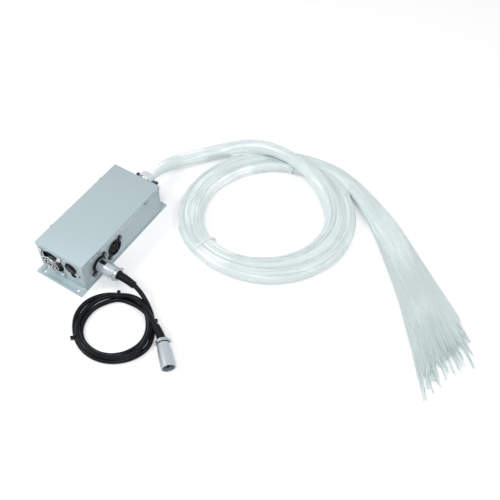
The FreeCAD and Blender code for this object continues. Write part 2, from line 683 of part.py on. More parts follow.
# ---------------------------------------------------------------- XLR sockets
def xlr_screw_offsets():
    return [(XLR_SCREW_X, XLR_SCREW_Z), (-XLR_SCREW_X, -XLR_SCREW_Z)]


def xlr_blank(x):
    """Round face with two ears on the diagonal, and the barrel behind the wall."""
    face = rod((x, -WALL_Y, XLR_Z), (0, -1, 0), XLR_FACE, XLR_PROUD)
    parts = [face, rod((x, -WALL_Y, XLR_Z), (0, 1, 0), XLR_BARREL, XLR_DEPTH)]
    for dx, dz in xlr_screw_offsets():
        parts.append(rod((x + dx, -WALL_Y, XLR_Z + dz), (0, -1, 0), XLR_EAR, XLR_PROUD))
        bridge = block(0, math.hypot(dx, dz), -XLR_EAR * 0.8, XLR_EAR * 0.8, 0, XLR_PROUD)
        bridge.Placement = FreeCAD.Placement(
            Vector(x, -WALL_Y, XLR_Z),
            FreeCAD.Rotation(Vector(dx, 0, dz), Vector(0, 0, 0), Vector(0, -1, 0), "ZXY"))
        parts.append(bridge)
    holes = [rod((x + dx, -WALL_Y - XLR_PROUD - 1, XLR_Z + dz), (0, 1, 0), M3 + M3_CLEAR, XLR_PROUD + 2)
             for dx, dz in xlr_screw_offsets()]
    return join(parts).cut(group(holes))


def xlr_in_body():
    """Male socket: an open cup with the insert at its foot."""
    front = -WALL_Y - XLR_PROUD
    cup = rod((XLR_IN_X, front - 1, XLR_Z), (0, 1, 0), CUP_RADIUS, CUP_DEPTH + 1)
    pocket = rod((XLR_IN_X, front + CUP_DEPTH, XLR_Z), (0, 1, 0), CUP_RADIUS + 0.8,
                 INSERT_THICK + XLR_POCKET_DEPTH)
    return xlr_blank(XLR_IN_X).cut(cup).cut(pocket)


def pin_places(x):
    return [(x + on_circle(PIN_CIRCLE, a)[0], XLR_Z + on_circle(PIN_CIRCLE, a)[1]) for a in PIN_ANGLES]


def xlr_in_insert():
    y = -WALL_Y - XLR_PROUD + CUP_DEPTH
    disc = rod((XLR_IN_X, y, XLR_Z), (0, 1, 0), CUP_RADIUS + 0.8, INSERT_THICK)
    return disc.cut(group([rod((px, y, pz), (0, 1, 0), PIN_RADIUS, INSERT_THICK)
                           for px, pz in pin_places(XLR_IN_X)]))


def xlr_in_pins():
    tip = -WALL_Y - XLR_PROUD + PIN_TIP_BACK
    length = XLR_TAIL_END - PIN_TIP_BACK
    return group([join([Part.makeSphere(PIN_RADIUS, Vector(px, tip, pz)),
                        rod((px, tip, pz), (0, 1, 0), PIN_RADIUS, length)])
                  for px, pz in pin_places(XLR_IN_X)])


def latch_slot(gap):
    """The latch tab's space at the top of the output socket, grown by gap."""
    low = XLR_Z + RECEPTACLE + 0.25
    return block(XLR_OUT_X - LATCH_WIDTH / 2 - gap, XLR_OUT_X + LATCH_WIDTH / 2 + gap,
                 -WALL_Y - XLR_PROUD - LATCH_PROUD, -WALL_Y - XLR_PROUD + LATCH_DEPTH + LATCH_TRAVEL,
                 low - gap, low + LATCH_HEIGHT + gap)


def xlr_out_body():
    """Female socket: a wide bore round the insert, and a slot for the latch."""
    front = -WALL_Y - XLR_PROUD
    bore = rod((XLR_OUT_X, front - 1, XLR_Z), (0, 1, 0), RECEPTACLE, RECEPTACLE_DEPTH + 1)
    rear = rod((XLR_OUT_X, front, XLR_Z), (0, 1, 0), INSERT_RADIUS, XLR_DEPTH + XLR_PROUD + 1)
    return xlr_blank(XLR_OUT_X).cut(bore).cut(rear).cut(latch_slot(LATCH_GAP))


def xlr_out_insert():
    front = -WALL_Y - XLR_PROUD + INSERT_BACK
    length = RECEPTACLE_DEPTH + INSERT_THICK
    insert = rod((XLR_OUT_X, front, XLR_Z), (0, 1, 0), INSERT_RADIUS, length)
    holes = [rod((px, front - 1, pz), (0, 1, 0), HOLE_RADIUS, length + 2) for px, pz in pin_places(XLR_OUT_X)]
    return insert.cut(group(holes))


def xlr_out_contacts():
    start = -WALL_Y - XLR_PROUD + HOLE_DEPTH
    length = XLR_TAIL_END - HOLE_DEPTH
    return group([rod((px, start, pz), (0, 1, 0), HOLE_RADIUS, length)
                  for px, pz in pin_places(XLR_OUT_X)])


def xlr_out_latch():
    slot = latch_slot(0)
    return slot.common(block(-500, 500, -500, -WALL_Y - XLR_PROUD + LATCH_DEPTH, 0, 500))


def socket_screws():
    length = XLR_PROUD + SHEET + NUT_HEIGHT + SCREW_TIP
    return group([pan_screw((x + dx, -WALL_Y - XLR_PROUD, XLR_Z + dz), (0, -1, 0), M3, length,
                            PAN_RADIUS, PAN_HEIGHT * 0.8)
                  for x in (XLR_IN_X, XLR_OUT_X) for dx, dz in xlr_screw_offsets()])


def hex_nuts():
    """Nuts of the fan screws and of the socket screws."""
    seat = NEAR + SHEET + FAN_DEPTH
    nuts = [nut((seat, y, z), (1, 0, 0), NUT_FLATS, NUT_HEIGHT, M3 + FIT) for y, z in fan_corners()]
    nuts += [nut((x + dx, -WALL_Y + SHEET, XLR_Z + dz), (0, 1, 0), NUT_FLATS, NUT_HEIGHT, M3 + FIT)
             for x in (XLR_IN_X, XLR_OUT_X) for dx, dz in xlr_screw_offsets()]
    return group(nuts)


# ---------------------------------------------------------------- fibre port
COLLAR_END = FAR + COLLAR_OUT
THUMB_X = COLLAR_END - THUMB_FROM_END


def port_sleeve():
    """Flanged sleeve through the far wall; the ferrule slides into its bore."""
    bore = FERRULE_RADIUS + FIT
    inner = FAR - SHEET - PORT_NUT_THICK - 3
    return around_x([
        (inner, bore), (inner, PORT_BARREL), (FAR, PORT_BARREL), (FAR, PORT_FLANGE),
        (FAR + PORT_FLANGE_THICK, PORT_FLANGE), (FAR + PORT_FLANGE_THICK, PORT_BARREL),
        (COLLAR_END - COLLAR_LENGTH, PORT_BARREL), (COLLAR_END - COLLAR_LENGTH, bore),
    ], 0, PORT_Z)


def port_nut():
    return nut((FAR - SHEET - PORT_NUT_THICK, 0, PORT_Z), (1, 0, 0), 2 * PORT_NUT - 2, PORT_NUT_THICK,
               PORT_BARREL + FIT)


def clamp_collar():
    """Round collar on the sleeve's end with two tapped cross holes for the thumb screws."""
    start = COLLAR_END - COLLAR_LENGTH
    bore = FERRULE_RADIUS + FIT
    collar = around_x([(start, bore), (start, COLLAR_RADIUS), (COLLAR_END - 0.8, COLLAR_RADIUS),
                       (COLLAR_END, COLLAR_RADIUS - 0.8), (COLLAR_END, bore)], 0, PORT_Z)
    hole = rod((THUMB_X, -COLLAR_RADIUS - 1, PORT_Z), (0, 1, 0), THUMB_RADIUS + FIT, 2 * COLLAR_RADIUS + 2)
    return collar.cut(hole)


def thumb_screw(side):
    """Knurled-head screw; its tip clamps the ferrule."""
    tip = FERRULE_RADIUS + THUMB_TIP_GAP
    head = COLLAR_RADIUS + THUMB_STAND
    shank = rod((THUMB_X, side * tip, PORT_Z), (0, side, 0), THUMB_RADIUS, head - tip + 1)
    knob = rod((THUMB_X, side * head, PORT_Z), (0, side, 0), THUMB_HEAD, THUMB_HEAD_LENGTH)
    end = side * (head + THUMB_HEAD_LENGTH)
    rim = [e for e in knob.Edges if abs(e.CenterOfMass.y - end) < 0.01 and e.Length > 1]
    knob = knob.makeFillet(0.5, rim)
    flutes = []
    for k in range(12):
        dx, dz = on_circle(THUMB_HEAD, 30 * k)
        flutes.append(rod((THUMB_X + dx, side * head, PORT_Z + dz), (0, side, 0), 0.3, THUMB_HEAD_LENGTH))
    return join([shank, knob.cut(group(flutes))])


def fibre_ferrule():
    start = FAR - SHEET - FERRULE_IN
    return around_x([(start, FERRULE_RADIUS - FERRULE_WALL), (start, FERRULE_RADIUS),
                     (COLLAR_END - 0.5, FERRULE_RADIUS), (COLLAR_END - 0.5, FERRULE_RADIUS - FERRULE_WALL)],
                    0, PORT_Z)


def fibre_core():
    """The fibres inside the ferrule, ground flat at the inner end."""
    start = FAR - SHEET - FERRULE_IN
    return rod((start, 0, PORT_Z), (1, 0, 0), FERRULE_RADIUS - FERRULE_WALL, COLLAR_END - start)


# ---------------------------------------------------------------- light source
def led_heatsink():
    z0 = PORT_Z - SINK_HEIGHT / 2
    parts = [block(SINK_X - SINK_BASE, SINK_X, -SINK_WIDTH / 2, SINK_WIDTH / 2, z0, z0 + SINK_HEIGHT)]
    for k in range(SINK_FINS):
        y = -SINK_WIDTH / 2 + k * (SINK_WIDTH - SINK_FIN) / (SINK_FINS - 1)
        parts.append(block(SINK_BACK, SINK_X - SINK_BASE, y, y + SINK_FIN, z0, z0 + SINK_HEIGHT))
    return join(parts)


def led_board():
    return rod((SINK_X, 0, PORT_Z), (1, 0, 0), STAR_RADIUS, STAR_THICK)


def led_emitter():
    start = SINK_X + STAR_THICK
    base = block(start, start + EMITTER_BASE, -EMITTER_RADIUS, EMITTER_RADIUS,
                 PORT_Z - EMITTER_RADIUS, PORT_Z + EMITTER_RADIUS)
    dome = Part.makeSphere(EMITTER_RADIUS - 0.6, Vector(start + EMITTER_BASE, 0, PORT_Z))
    front = block(start, start + 9, -9, 9, PORT_Z - 9, PORT_Z + 9)
    return join([base, dome.common(front)])


def lens_holder():
    """Flanged tube round the LED board, stepped inside to seat the lens."""
    recess = STAR_THICK + 0.2
    step = SINK_X + EMITTER_BASE + STAR_THICK + 3.5
    notch = block(SINK_X - 1, SINK_X + HOLDER_FLANGE_THICK, -HOLDER_FLANGE - 1, -STAR_RADIUS,
                  PORT_Z - 2 * WIRE_RADIUS, PORT_Z + 2 * WIRE_RADIUS)
    holder = around_x([
        (SINK_X, STAR_RADIUS + FIT), (SINK_X, HOLDER_FLANGE),
        (SINK_X + HOLDER_FLANGE_THICK, HOLDER_FLANGE), (SINK_X + HOLDER_FLANGE_THICK, HOLDER_RADIUS),
        (SINK_X + HOLDER_LENGTH, HOLDER_RADIUS), (SINK_X + HOLDER_LENGTH, HOLDER_BORE),
        (step + 1.5, HOLDER_BORE), (step + 1.5, OPTIC_SMALL + 1.6), (SINK_X + recess, OPTIC_SMALL + 1.6),
        (SINK_X + recess, STAR_RADIUS + FIT),
    ], 0, PORT_Z)
    return holder.cut(notch)


def collimator_lens():
    """Solid cone of clear plastic that gathers the light onto the fibre ends."""
    wide = HOLDER_BORE - FIT
    start = SINK_X + EMITTER_BASE + STAR_THICK + 5.0
    end = start + OPTIC_LENGTH
    return around_x([(start, 0), (start, wide - 3.0), (end - 1.5, wide), (end, wide), (end, 0)], 0, PORT_Z)


def sink_bracket():
    """Channel under the heatsink that lifts it to the port's axis."""
    top = PORT_Z - SINK_HEIGHT / 2
    channel = block(SINK_BACK, SINK_X, -BRACKET_WIDTH / 2, BRACKET_WIDTH / 2, BASE_SHEET, top)
    clear = BRACKET_WIDTH / 2 - BRACKET_SHEET
    inside = block(SINK_BACK - 1, SINK_X + 1, -clear, clear, BASE_SHEET - 1, top - BRACKET_SHEET)
    return channel.cut(inside)


# ---------------------------------------------------------------- driver board
def board_corners():
    y = BOARD_Y - BOARD_HOLE_IN
    return [(x, s * y) for x in (BOARD_X0 + BOARD_HOLE_IN, BOARD_X1 - BOARD_HOLE_IN) for s in (-1, 1)]


def driver_board():
    board = block(BOARD_X0, BOARD_X1, -BOARD_Y, BOARD_Y, BASE_SHEET + STANDOFF, BOARD_TOP)
    return board.cut(group([rod((x, y, 0), (0, 0, 1), M2 + FIT, BOARD_TOP + 1) for x, y in board_corners()]))


def board_standoffs():
    posts = []
    for x, y in board_corners():
        post = rod((x, y, BASE_SHEET), (0, 0, 1), STANDOFF_RADIUS, STANDOFF)
        posts.append(post.cut(rod((x, y, BASE_SHEET + 1), (0, 0, 1), M2 + FIT, STANDOFF)))
    return group(posts)


def board_screws():
    length = BOARD_THICK + STANDOFF - 1.5
    return group([pan_screw((x, y, BOARD_TOP), (0, 0, 1), M2, length, M2_HEAD, M2_HEAD_HEIGHT)
                  for x, y in board_corners()])


def board_parts():
    """Capacitors, inductor, chips, wire headers and address switch, each its own solid."""
    z = BOARD_TOP
    x0 = BOARD_X0
    parts = [rod((x0 + dx, dy, z), (0, 0, 1), r, h) for dx, dy, r, h in BOARD_CANS]
    cx, cy = x0 + COIL_AT[0], COIL_AT[1]
    parts.append(rod((cx, cy, z), (0, 0, 1), COIL_OUTER, COIL_OUTER).cut(
        rod((cx, cy, z - 1), (0, 0, 1), COIL_INNER, COIL_OUTER + 2)))
    headers = [(x - x0, DATA_HEADER_Y, 3 * DATA_PITCH, 4, DATA_HEADER_HEIGHT) for x in (XLR_IN_X, XLR_OUT_X)]
    headers += [INLET_HEADER, (BOARD_X1 - x0 - LAMP_HEADER[0],) + LAMP_HEADER[1:]]
    for dx, dy, lx, ly, h in headers + BOARD_CHIPS:
        parts.append(block(x0 + dx - lx / 2, x0 + dx + lx / 2, dy - ly / 2, dy + ly / 2, z, z + h))
    return group(parts)


# ---------------------------------------------------------------- plug A in the input socket
PLUG_FRONT = -WALL_Y - XLR_PROUD
PLUG_REAR = PLUG_FRONT - PLUG_VISIBLE


def around_y(profile, x, z):
    """A closed outline of (y, radius) points turned about the line along Y through x, z."""
    solid = around_x(profile, 0, z)
    solid.rotate(Vector(0, 0, 0), Z_AXIS, 90)
    solid.translate(Vector(x, 0, 0))
    return solid


def plug_latch_space(gap):
    top = XLR_Z + SHELL_RADIUS
    return block(XLR_IN_X - PLUG_LATCH_WIDTH / 2 - gap, XLR_IN_X + PLUG_LATCH_WIDTH / 2 + gap,
                 PLUG_FRONT - 2.0 - PLUG_LATCH_LENGTH - gap, PLUG_FRONT - 2.0 + gap,
                 top - PLUG_LATCH_THICK - gap, top + PLUG_LATCH_PROUD)


def plug_a_shell():
    """Metal shell with a thin nose inside the socket; a window in its top holds the latch tab."""
    nose_end = PLUG_FRONT + CUP_DEPTH - 0.8
    front = PLUG_FRONT
    rear = PLUG_REAR
    shell = around_y([
        (nose_end, NOSE_RADIUS - NOSE_WALL), (nose_end, NOSE_RADIUS), (front, NOSE_RADIUS),
        (front, SHELL_RADIUS - 0.4), (front - 0.4, SHELL_RADIUS),
        swell(rear, rear + PLUG_TAPER, SHELL_NECK, SHELL_RADIUS)[::-1], (rear, NOSE_RADIUS - NOSE_WALL),
    ], XLR_IN_X, XLR_Z)
    pit = block(XLR_IN_X - PLUG_LATCH_WIDTH / 2 - 0.1, XLR_IN_X + PLUG_LATCH_WIDTH / 2 + 0.1,
                PLUG_FRONT - 2.1 - PLUG_LATCH_LENGTH, PLUG_FRONT - 1.9,
                XLR_Z + SHELL_RADIUS - PLUG_LATCH_THICK - PLUG_LATCH_TRAVEL - 0.1, XLR_Z + 2 * SHELL_RADIUS)
    return shell.cut(pit)


def plug_a_latch():
    """Thumb tab in the shell's window, pressed down to free the plug."""
    tab = plug_latch_space(0)
    ends = [e for e in tab.Edges if abs(e.tangentAt(e.FirstParameter).x) > 0.9
            and e.CenterOfMass.z > XLR_Z + SHELL_RADIUS]
    tab = tab.makeFillet(PLUG_LATCH_PROUD * 0.6, ends)
    grips = [block(XLR_IN_X - PLUG_LATCH_WIDTH, XLR_IN_X + PLUG_LATCH_WIDTH, y - 0.2, y + 0.2,
                   XLR_Z + SHELL_RADIUS + PLUG_LATCH_PROUD - 0.3, XLR_Z + 2 * SHELL_RADIUS)
             for y in [PLUG_FRONT - 4.5 - 1.2 * k for k in range(4)]]
    return tab.cut(group(grips))


def plug_a_insert():
    front = PLUG_FRONT + CUP_DEPTH - 1.0
    insert = rod((XLR_IN_X, front - 20, XLR_Z), (0, 1, 0), NOSE_RADIUS - NOSE_WALL, 20)
    holes = [rod((px, front - 12, pz), (0, 1, 0), HOLE_RADIUS, 13) for px, pz in pin_places(XLR_IN_X)]
    return insert.cut(group(holes))


def clamp_ring(back):
    """Ring behind a cable shell with two screw lugs; it starts at the origin and runs along +X."""
    ring = around_x([(0, BOOT_RADIUS + 0.3), (0, CLAMP_RADIUS), (CLAMP_LENGTH, CLAMP_RADIUS),
                     (CLAMP_LENGTH, BOOT_RADIUS + 0.3)], 0, 0)
    lugs = []
    for side in (-1, 1):
        lug = rod((CLAMP_LENGTH / 2, side * (CLAMP_RADIUS - 1), 0), (0, side, 0), CLAMP_LUG, 2.8)
        lugs.append(lug.cut(rod((CLAMP_LENGTH / 2, side * (CLAMP_RADIUS + 0.9), 0), (0, side, 0), 0.9, 2)))
    ring = join([ring] + lugs)
    ring.Placement = back
    return ring


def plug_a_ring():
    return clamp_ring(FreeCAD.Placement(Vector(XLR_IN_X, PLUG_REAR, XLR_Z), FreeCAD.Rotation(Z_AXIS, -90)))


def plug_a_boot():
    """Boot from the clamp ring's end to the cable's first point, level at first and then sagging."""
    start = Vector(XLR_IN_X, PLUG_REAR - CLAMP_LENGTH * 0.8, XLR_Z)
    end = Vector(*CABLE_LEAD[0])
    taper = []
    for k in range(BOOT_RINGS + 1):
        share = k / BOOT_RINGS
        bend = share ** BOOT_SAG
        taper.append((start.x + (end.x - start.x) * bend, start.y + (end.y - start.y) * share,
                      start.z + (end.z - start.z) * bend))
    return boot((XLR_IN_X, PLUG_REAR, XLR_Z), taper)


# ---------------------------------------------------------------- connector B on the lead's end
def connector_place():
    """Frame at the clamp ring's boot side: +X runs along the shell to its open end."""
    return FreeCAD.Placement(Vector(CONNECTOR_AT[0], CONNECTOR_AT[1], SHELL_RADIUS),
                             FreeCAD.Rotation(Z_AXIS, CONNECTOR_TURN))


def connector_shell():
    """Metal shell, open at its end, with the insert at the foot of the cup."""
    inner = SHELL_RADIUS - CONNECTOR_WALL
    start = CLAMP_LENGTH
    end = start + CONNECTOR_LENGTH
    shell = around_x([
        (start, inner - 1.5), swell(start, start + CONNECTOR_TAPER, SHELL_NECK, SHELL_RADIUS),
        (end - 0.5, SHELL_RADIUS), (end, SHELL_RADIUS - 0.5), (end, inner),
        (end - CONNECTOR_CUP, inner), (end - CONNECTOR_CUP, inner - 1.5),
    ], 0, 0)
    key = block(end - 6, end + 1, -1.2, 1.2, inner - 0.5, SHELL_RADIUS - 0.6)
    shell = shell.cut(key)
    shell.Placement = connector_place()
    return shell


def connector_pin_places():
    return [on_circle(PIN_CIRCLE, a) for a in PIN_ANGLES]


def connector_insert():
    end = CLAMP_LENGTH + CONNECTOR_LENGTH - CONNECTOR_CUP
    plug = rod((end - 8, 0, 0), (1, 0, 0), SHELL_RADIUS - CONNECTOR_WALL - 1.5, 8)
    holes = [rod((end - 8, y, z), (1, 0, 0), PIN_RADIUS, 8) for y, z in connector_pin_places()]
    plug = plug.cut(group(holes))
    plug.Placement = connector_place()
    return plug


def connector_pins():
    end = CLAMP_LENGTH + CONNECTOR_LENGTH - CONNECTOR_CUP
    reach = CONNECTOR_CUP - PIN_TIP_BACK
    pins = []
    for y, z in connector_pin_places():
        pin = join([rod((end - 8, y, z), (1, 0, 0), PIN_RADIUS, 8 + reach),
                    Part.makeSphere(PIN_RADIUS, Vector(end + reach, y, z))])
        pin.Placement = connector_place()
        pins.append(pin)
    return group(pins)


def connector_ring():
    return clamp_ring(connector_place())


def connector_boot():
    foot = connector_place().multVec(Vector(CLAMP_LENGTH, 0, 0))
    return boot(foot, BOOT_B)


# ---------------------------------------------------------------- coils, cords and ties
def fibre_coil_section(inset):
    """Rounded outline of the fibre coil's section, drawn in by inset."""
    r0 = FIBRE_COIL_MEAN - FIBRE_COIL_WIDTH / 2 + inset
    r1 = FIBRE_COIL_MEAN + FIBRE_COIL_WIDTH / 2 - inset
    z0, z1 = inset, FIBRE_COIL_HEIGHT - inset
    bend = (z1 - z0) / 2 - 0.5
    k = bend * (1 - math.sqrt(0.5))
    corner = [((r0, z0 + bend), (r0 + k, z0 + k), (r0 + bend, z0)),
              ((r1 - bend, z0), (r1 - k, z0 + k), (r1, z0 + bend)),
              ((r1, z1 - bend), (r1 - k, z1 - k), (r1 - bend, z1)),
              ((r0 + bend, z1), (r0 + k, z1 - k), (r0, z1 - bend))]
    return rounded(corner)


def rounded(corners):
    """A closed outline of arcs, each given by three (radius, z) points, joined by straight lines."""
    edges = []
    for k, (a, b, c) in enumerate(corners):
        a, b, c = (Vector(p[0], 0, p[1]) for p in (a, b, c))
        edges.append(Part.Arc(a, b, c).toShape())
        following = corners[(k + 1) % len(corners)][0]
        edges.append(Part.LineSegment(c, Vector(following[0], 0, following[1])).toShape())
    return edges


def cable_coil_section(inset):
    """Outline round three strands: two on the floor and one in the groove on top of them."""
    r = CABLE_RADIUS - inset
    low = CABLE_RADIUS
    high = CABLE_RADIUS * (1 + math.sqrt(3))
    spots = [(CABLE_COIL_MEAN + CABLE_RADIUS, low, -90, 30), (CABLE_COIL_MEAN, high, 30, 150),
             (CABLE_COIL_MEAN - CABLE_RADIUS, low, 150, 270)]
    corners = []
    for x, z, a0, a1 in spots:
        corners.append([(x + on_circle(r, a)[0], z + on_circle(r, a)[1]) for a in (a0, (a0 + a1) / 2, a1)])
    return rounded(corners)


def tie_band(section, at, mean, angle, width, head, height):
    """A strap of the given width let into the coil's surface, with its lock head.

    The coil's surface lies at radius head at the given height, which is the head's centre, and the head
    stands away from the coil's middle line.
    """
    sweep = math.degrees(width / mean)
    band = turned(section(0), at, sweep).cut(turned(section(TIE_THICK), at, sweep))
    band.rotate(Vector(at[0], at[1], 0), Z_AXIS, angle - sweep / 2)
    low = height - TIE_HEAD / 2
    side = math.copysign(1, head - mean)
    ends = sorted((head - side * TIE_THICK, head + side * (TIE_HEAD - TIE_THICK)))
    lock = block(ends[0], ends[1], -TIE_HEAD / 2, TIE_HEAD / 2, low, low + TIE_HEAD)
    lock.translate(Vector(at[0], at[1], 0))
    lock.rotate(Vector(at[0], at[1], 0), Z_AXIS, angle)
    return join([band, lock.cut(turned(section(TIE_THICK), at))])


def fibre_tie_bands():
    head = FIBRE_COIL_MEAN - FIBRE_COIL_WIDTH / 2
    return [tie_band(fibre_coil_section, FIBRE_COIL_AT, FIBRE_COIL_MEAN, a, FIBRE_TIE_WIDTH, head,
                     FIBRE_COIL_HEIGHT / 2)
            for a in FIBRE_TIE_ANGLES]


def cable_tie_bands():
    head = CABLE_COIL_MEAN + 2 * CABLE_RADIUS
    return [tie_band(cable_coil_section, CABLE_COIL_AT, CABLE_COIL_MEAN, a, CABLE_TIE_WIDTH, head,
                     CABLE_RADIUS)
            for a in CABLE_TIE_ANGLES]


def spray():
    """The loose fibre ends: flat oval sections that widen and thin towards the tips."""
    rings = []
    for k, (x, y, wide, high) in enumerate(SPRAY):
        here, there = SPRAY[max(k - 1, 0)], SPRAY[min(k + 1, len(SPRAY) - 1)]
        heading = Vector(there[0] - here[0], there[1] - here[1], 0)
        if k == 0:
            heading = Vector(FIBRE_TAIL[-1][0] - FIBRE_TAIL[-2][0], FIBRE_TAIL[-1][1] - FIBRE_TAIL[-2][1], 0)
        side = heading.cross(Z_AXIS).normalize()
        if wide > high:
            oval = Part.Ellipse(Vector(x, y, high) + side * wide, Vector(x, y, 2 * high), Vector(x, y, high))
            rings.append(Part.Wire(oval.toShape()))
        else:
            circle = Part.Circle(Vector(x, y, high), heading, high)
            circle.XAxis = side
            rings.append(Part.Wire(circle.toShape()))
    return Part.makeLoft(rings, True, True)


def spray_gap(share, depth):
    """The upright wedge between two tufts of the spread end."""
    x, y, wide, _ = SPRAY[-1]
    before = SPRAY[-2]
    heading = Vector(x - before[0], y - before[1], 0)
    narrowing = (wide - before[2]) / heading.Length
    heading.normalize()
    side = heading.cross(Z_AXIS)
    mouth = Vector(x, y, -1) + heading + side * (share * wide)
    foot = mouth - heading * depth - side * (share * narrowing * depth)
    half = side * (SPRAY_GAP_WIDTH / 2)
    wedge = Part.Face(Part.makePolygon([foot, mouth + half, mouth - half, foot]))
    return wedge.extrude(Vector(0, 0, 2 * BUNDLE_RADIUS))


def fibre_spray():
    return spray().cut([spray_gap(share, depth) for share, depth in SPRAY_GAPS])


def power_leads():
    """Leads from the inlet to the switch, from the switch and the fan to the board, and on to the LED."""
    jack = NEAR + JACK_DEPTH
    blade = NEAR + SWITCH_DEPTH + SWITCH_BLADE
    fan = NEAR + SHEET + FAN_DEPTH
    inlet_top = BOARD_TOP + INLET_HEADER[4]
    inlet_x = BOARD_X0 + INLET_HEADER[0]
    lamp_top = BOARD_TOP + LAMP_HEADER[4]
    lamp_x = BOARD_X1 - LAMP_HEADER[0]
    lamp_y = LAMP_HEADER[1]
    star = SINK_X + STAR_THICK / 2
    return {
        "inlet_wire": [(jack, JACK_Y + 1.2, JACK_Z + 1), (jack + 4.2, JACK_Y + 1.2, JACK_Z + 1.3),
                       (jack + 7.2, JACK_Y + 1.0, JACK_Z + 4), (blade + 4.4, SWITCH_Y - 0.9, SWITCH_Z - 6.2),
                       (blade + 4.3, SWITCH_Y - 2.4, SWITCH_Z - 2.3),
                       (blade + 2.7, SWITCH_Y - 3, SWITCH_Z - 0.2), (blade, SWITCH_Y - 3, SWITCH_Z)],
        "switch_wire": [(blade, SWITCH_Y + 3, SWITCH_Z), (blade + 5.2, SWITCH_Y + 3, SWITCH_Z),
                        (inlet_x - 1.5, -12, SWITCH_Z - 1.5), (inlet_x + 1.0, -7.5, SWITCH_Z - 5.5),
                        (inlet_x + 1.2, -3, inlet_top + 9.4), (inlet_x + 0.4, 0.5, inlet_top + 4.4),
                        (inlet_x, 2, inlet_top)],
        "fan_wire": [(fan, FAN_Y - 3.5, FAN_Z - 5.5), (fan + 4.5, FAN_Y - 3.5, FAN_Z - 5),
                     (inlet_x - 6.5, 10.5, inlet_top + 7), (inlet_x - 2.6, 8, inlet_top + 7.2),
                     (inlet_x - 0.4, 6, inlet_top + 4.4), (inlet_x, 5.2, inlet_top)],
        "lamp_wire": [(lamp_x, lamp_y, lamp_top), (lamp_x + 0.5, lamp_y - 1, lamp_top + 4),
                      (lamp_x + 3, lamp_y - 4, lamp_top + 7.5), (lamp_x + 8, lamp_y - 9, lamp_top + 9.5),
                      (lamp_x + 14, lamp_y - 13, PORT_Z), (star - 11.5, -SINK_WIDTH / 2 - 4.8, PORT_Z),
                      (star - 4.2, -SINK_WIDTH / 2 - 5, PORT_Z), (star + 0.3, -SINK_WIDTH / 2 - 2.2, PORT_Z),
                      (star, -HOLDER_FLANGE, PORT_Z), (star, -STAR_RADIUS, PORT_Z)],
    }


def data_leads():
    """Three leads from each data socket down to its header on the board."""
    start = -WALL_Y - XLR_PROUD + XLR_TAIL_END
    leads = {}
    for label, x in (("in", XLR_IN_X), ("out", XLR_OUT_X)):
        for k, (px, pz) in enumerate(pin_places(x)):
            hx = x + DATA_PITCH * (1, -1, 0)[k]
            leads[label + "_wire_" + str(k)] = [
                (px, start, pz), (px, start + 3.8, pz), ((px + hx) / 2, start + 7.4, pz - 2.8),
                (hx, start + 9, pz - 7.6), (hx, DATA_HEADER_Y, BOARD_TOP + DATA_HEADER_HEIGHT)]
    return leads


def wiring():
    leads = dict(power_leads(), **data_leads())
    around = [switch_body(), board_parts(), led_board(), fan_frame(), dc_jack()]
    return group([tube(name, points, WIRE_RADIUS).cut(around) for name, points in leads.items()])


